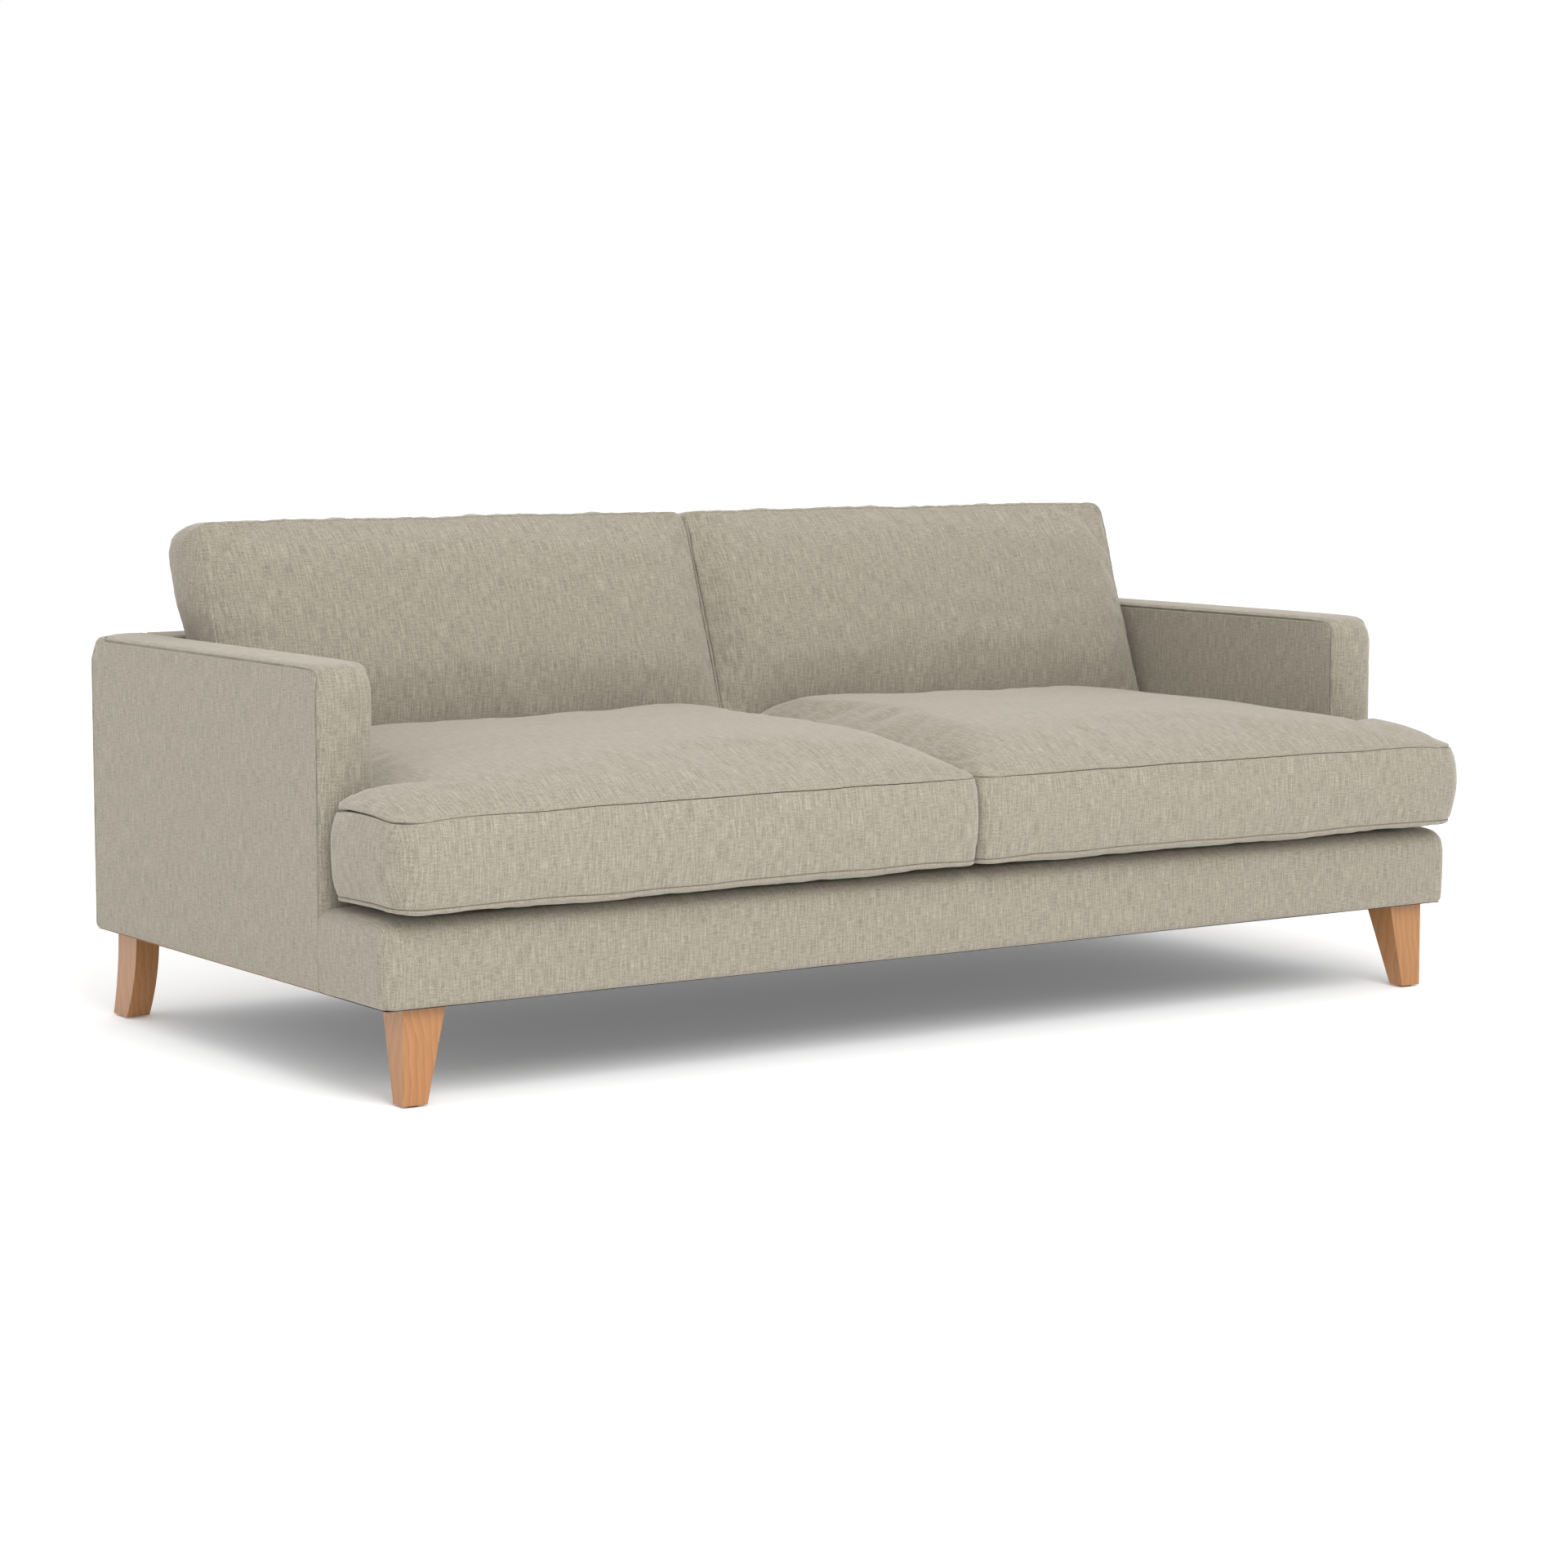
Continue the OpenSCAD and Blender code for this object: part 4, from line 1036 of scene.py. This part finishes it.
# Nickel plate on the teeth and sliders: bright, rubbed duller in places
nickel, tree, shader = new_material("nickel_plate")
place = node(tree, "ShaderNodeTexCoord").outputs["Object"]
rub = node(tree, "ShaderNodeTexNoise", {"Vector": place, "Scale": 900, "Detail": 2}).outputs["Fac"]
rough = node(tree, "ShaderNodeMapRange", {"Value": rub, "To Min": 0.18, "To Max": 0.4})
tree.links.new(rough.outputs[0], shader.inputs["Roughness"])
shader.inputs["Base Color"].default_value = rgb("c9c7c1")
shader.inputs["Metallic"].default_value = 1
dress(["seat_zip_pull_left", "seat_zip_pull_right", "back_zip_pull_left", "back_zip_pull_right"],
      nickel, 0.7)


# Where each left zip begins, and the place of its middle: a height for the
# seat's, and a depth behind the front seam for the back cushion's
seat_zip_x = -814
seat_zip_z = 361.3
back_zip_x = -800
back_zip_n = 115


def zip_shape(length):
    """A zip laid along its first side: its tape, raised under the teeth, and two rows of teeth."""
    across = [0, 2.8, 3.4, 8, 12.6, 13]
    u, v = np.meshgrid(np.linspace(0, length, 160), [-p for p in across[:0:-1]] + across)
    tape_grid = np.stack([u, v, 0.5 + 0.4 * (np.abs(v) < 3) - 0.3 * (np.abs(v) > 12.8)], -1)
    tape_grid[..., 2] += 0.15 * waves(tape_grid, 60, 101)
    points, faces = [], []
    for row, low, high in ((0, -2.6, 0.5), (1, -0.5, 2.6)):
        for start in np.arange(1 + 1.5 * row, length - 2, 3):
            n = len(points)
            points += [(start + a, b, c) for c in (0.7, 2.1) for a, b in
                       ((0, low), (1.3, low), (1.3, high), (0, high))]
            faces += [[n + i for i in face] for face in
                      ((3, 2, 1, 0), (4, 5, 6, 7), (0, 1, 5, 4), (1, 2, 6, 5), (2, 3, 7, 6),
                       (3, 0, 4, 7))]
    return [tape_grid, (np.array(points, float), faces)]


def behind_seat(p):
    """Puts a zip's points on the rear of the left seat cushion."""
    return np.column_stack([seat_zip_x + p[:, 0], seat_rear + p[:, 2], seat_zip_z + p[:, 1]])


def under_back(p):
    """Puts a zip's points under the left back cushion."""
    n = back_zip_n + p[:, 1]
    y = foot_y + 0.5 - p[:, 2] * math.sin(lean_angle) + n * math.cos(lean_angle)
    z = foot_z + 1.6 - p[:, 2] * math.cos(lean_angle) - n * math.sin(lean_angle)
    return np.column_stack([back_zip_x + p[:, 0], y, z])


for kind, length, put, centre in (("seat", 672.5, behind_seat, (-478, 200, 361)),
                                  ("back", 658.5, under_back, (-470, 360, 600))):
    whole = shifted(zip_shape(length), put)
    for end, parts, flip in (("left", whole, 1), ("right", mirrored(whole), -1)):
        around = centre * np.array([flip, 1, 1])
        band = surface(f"{kind}_zip_tape_{end}", parts[:1], around, tape)
        metal = surface(f"{kind}_zip_teeth_{end}", parts[1:], around, nickel)
        metal.data.shade_flat()
        for piece in (band, metal):
            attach(piece, f"{kind}_cushion_{end}")
            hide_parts(f"{kind}_zip_{end}")


# ---- Floor, light and camera ----
# A plain white floor with even light from all round, and one large soft lamp
# ahead of the sofa and above it.

# White studio floor: matt, with a barely uneven tone, and a faint painted glow of its own that lightens
# the shade under the sofa
white, tree, shader = new_material("glowing_studio_floor")
place = node(tree, "ShaderNodeTexCoord").outputs["Object"]
tint = node(tree, "ShaderNodeTexNoise", {"Vector": place, "Scale": 3, "Detail": 2}).outputs["Fac"]
tone = node(tree, "ShaderNodeMix", {0: tint, 6: rgb("f8f8f8"), 7: rgb("fcfcfc")}, data_type="RGBA")
tree.links.new(tone.outputs[2], shader.inputs["Base Color"])
shader.inputs["Roughness"].default_value = 1
shader.inputs["Specular IOR Level"].default_value = 0
# Painted glow: the floor gives off a little light, which lifts the shadow under the sofa and the shade on
# its underside
shader.inputs["Emission Color"].default_value = (1, 1, 1, 1)
shader.inputs["Emission Strength"].default_value = 0.13
mesh = bpy.data.meshes.new("floor")
mesh.from_pydata([(-60, -60, 0), (60, -60, 0), (60, 60, 0), (-60, 60, 0)], [], [(0, 1, 2, 3)])
mesh.materials.append(white)
floor = bpy.data.objects.new("floor", mesh)
bpy.context.collection.objects.link(floor)

scene = bpy.context.scene
world = bpy.data.worlds.new("studio")
scene.world = world
world.use_nodes = True
sky = world.node_tree.nodes["Background"]
sky.inputs["Color"].default_value = (1, 1, 1, 1)
sky.inputs["Strength"].default_value = 1.01

key = bpy.data.lights.new("key", "AREA")
key.size = 3.5
key.energy = 225
lamp = bpy.data.objects.new("key", key)
lamp.location = (-1.2, -4.6, 4.2)
lamp.rotation_euler = (Vector((0, 0, 0.3)) - lamp.location).to_track_quat("-Z", "Y").to_euler()
bpy.context.collection.objects.link(lamp)

# A long lens from ahead and to the left, looking a little down
camera = bpy.data.cameras.new("camera")
camera.lens = 85.68
camera.sensor_width = 36
camera.clip_end = 200
eye = bpy.data.objects.new("camera", camera)
eye.location = (-3.5515, -5.2449, 1.0523)
eye.rotation_euler = (math.radians(90 - 6.1), 0, -math.radians(33.98))
bpy.context.collection.objects.link(eye)
scene.camera = eye
scene.view_settings.view_transform = "Standard"
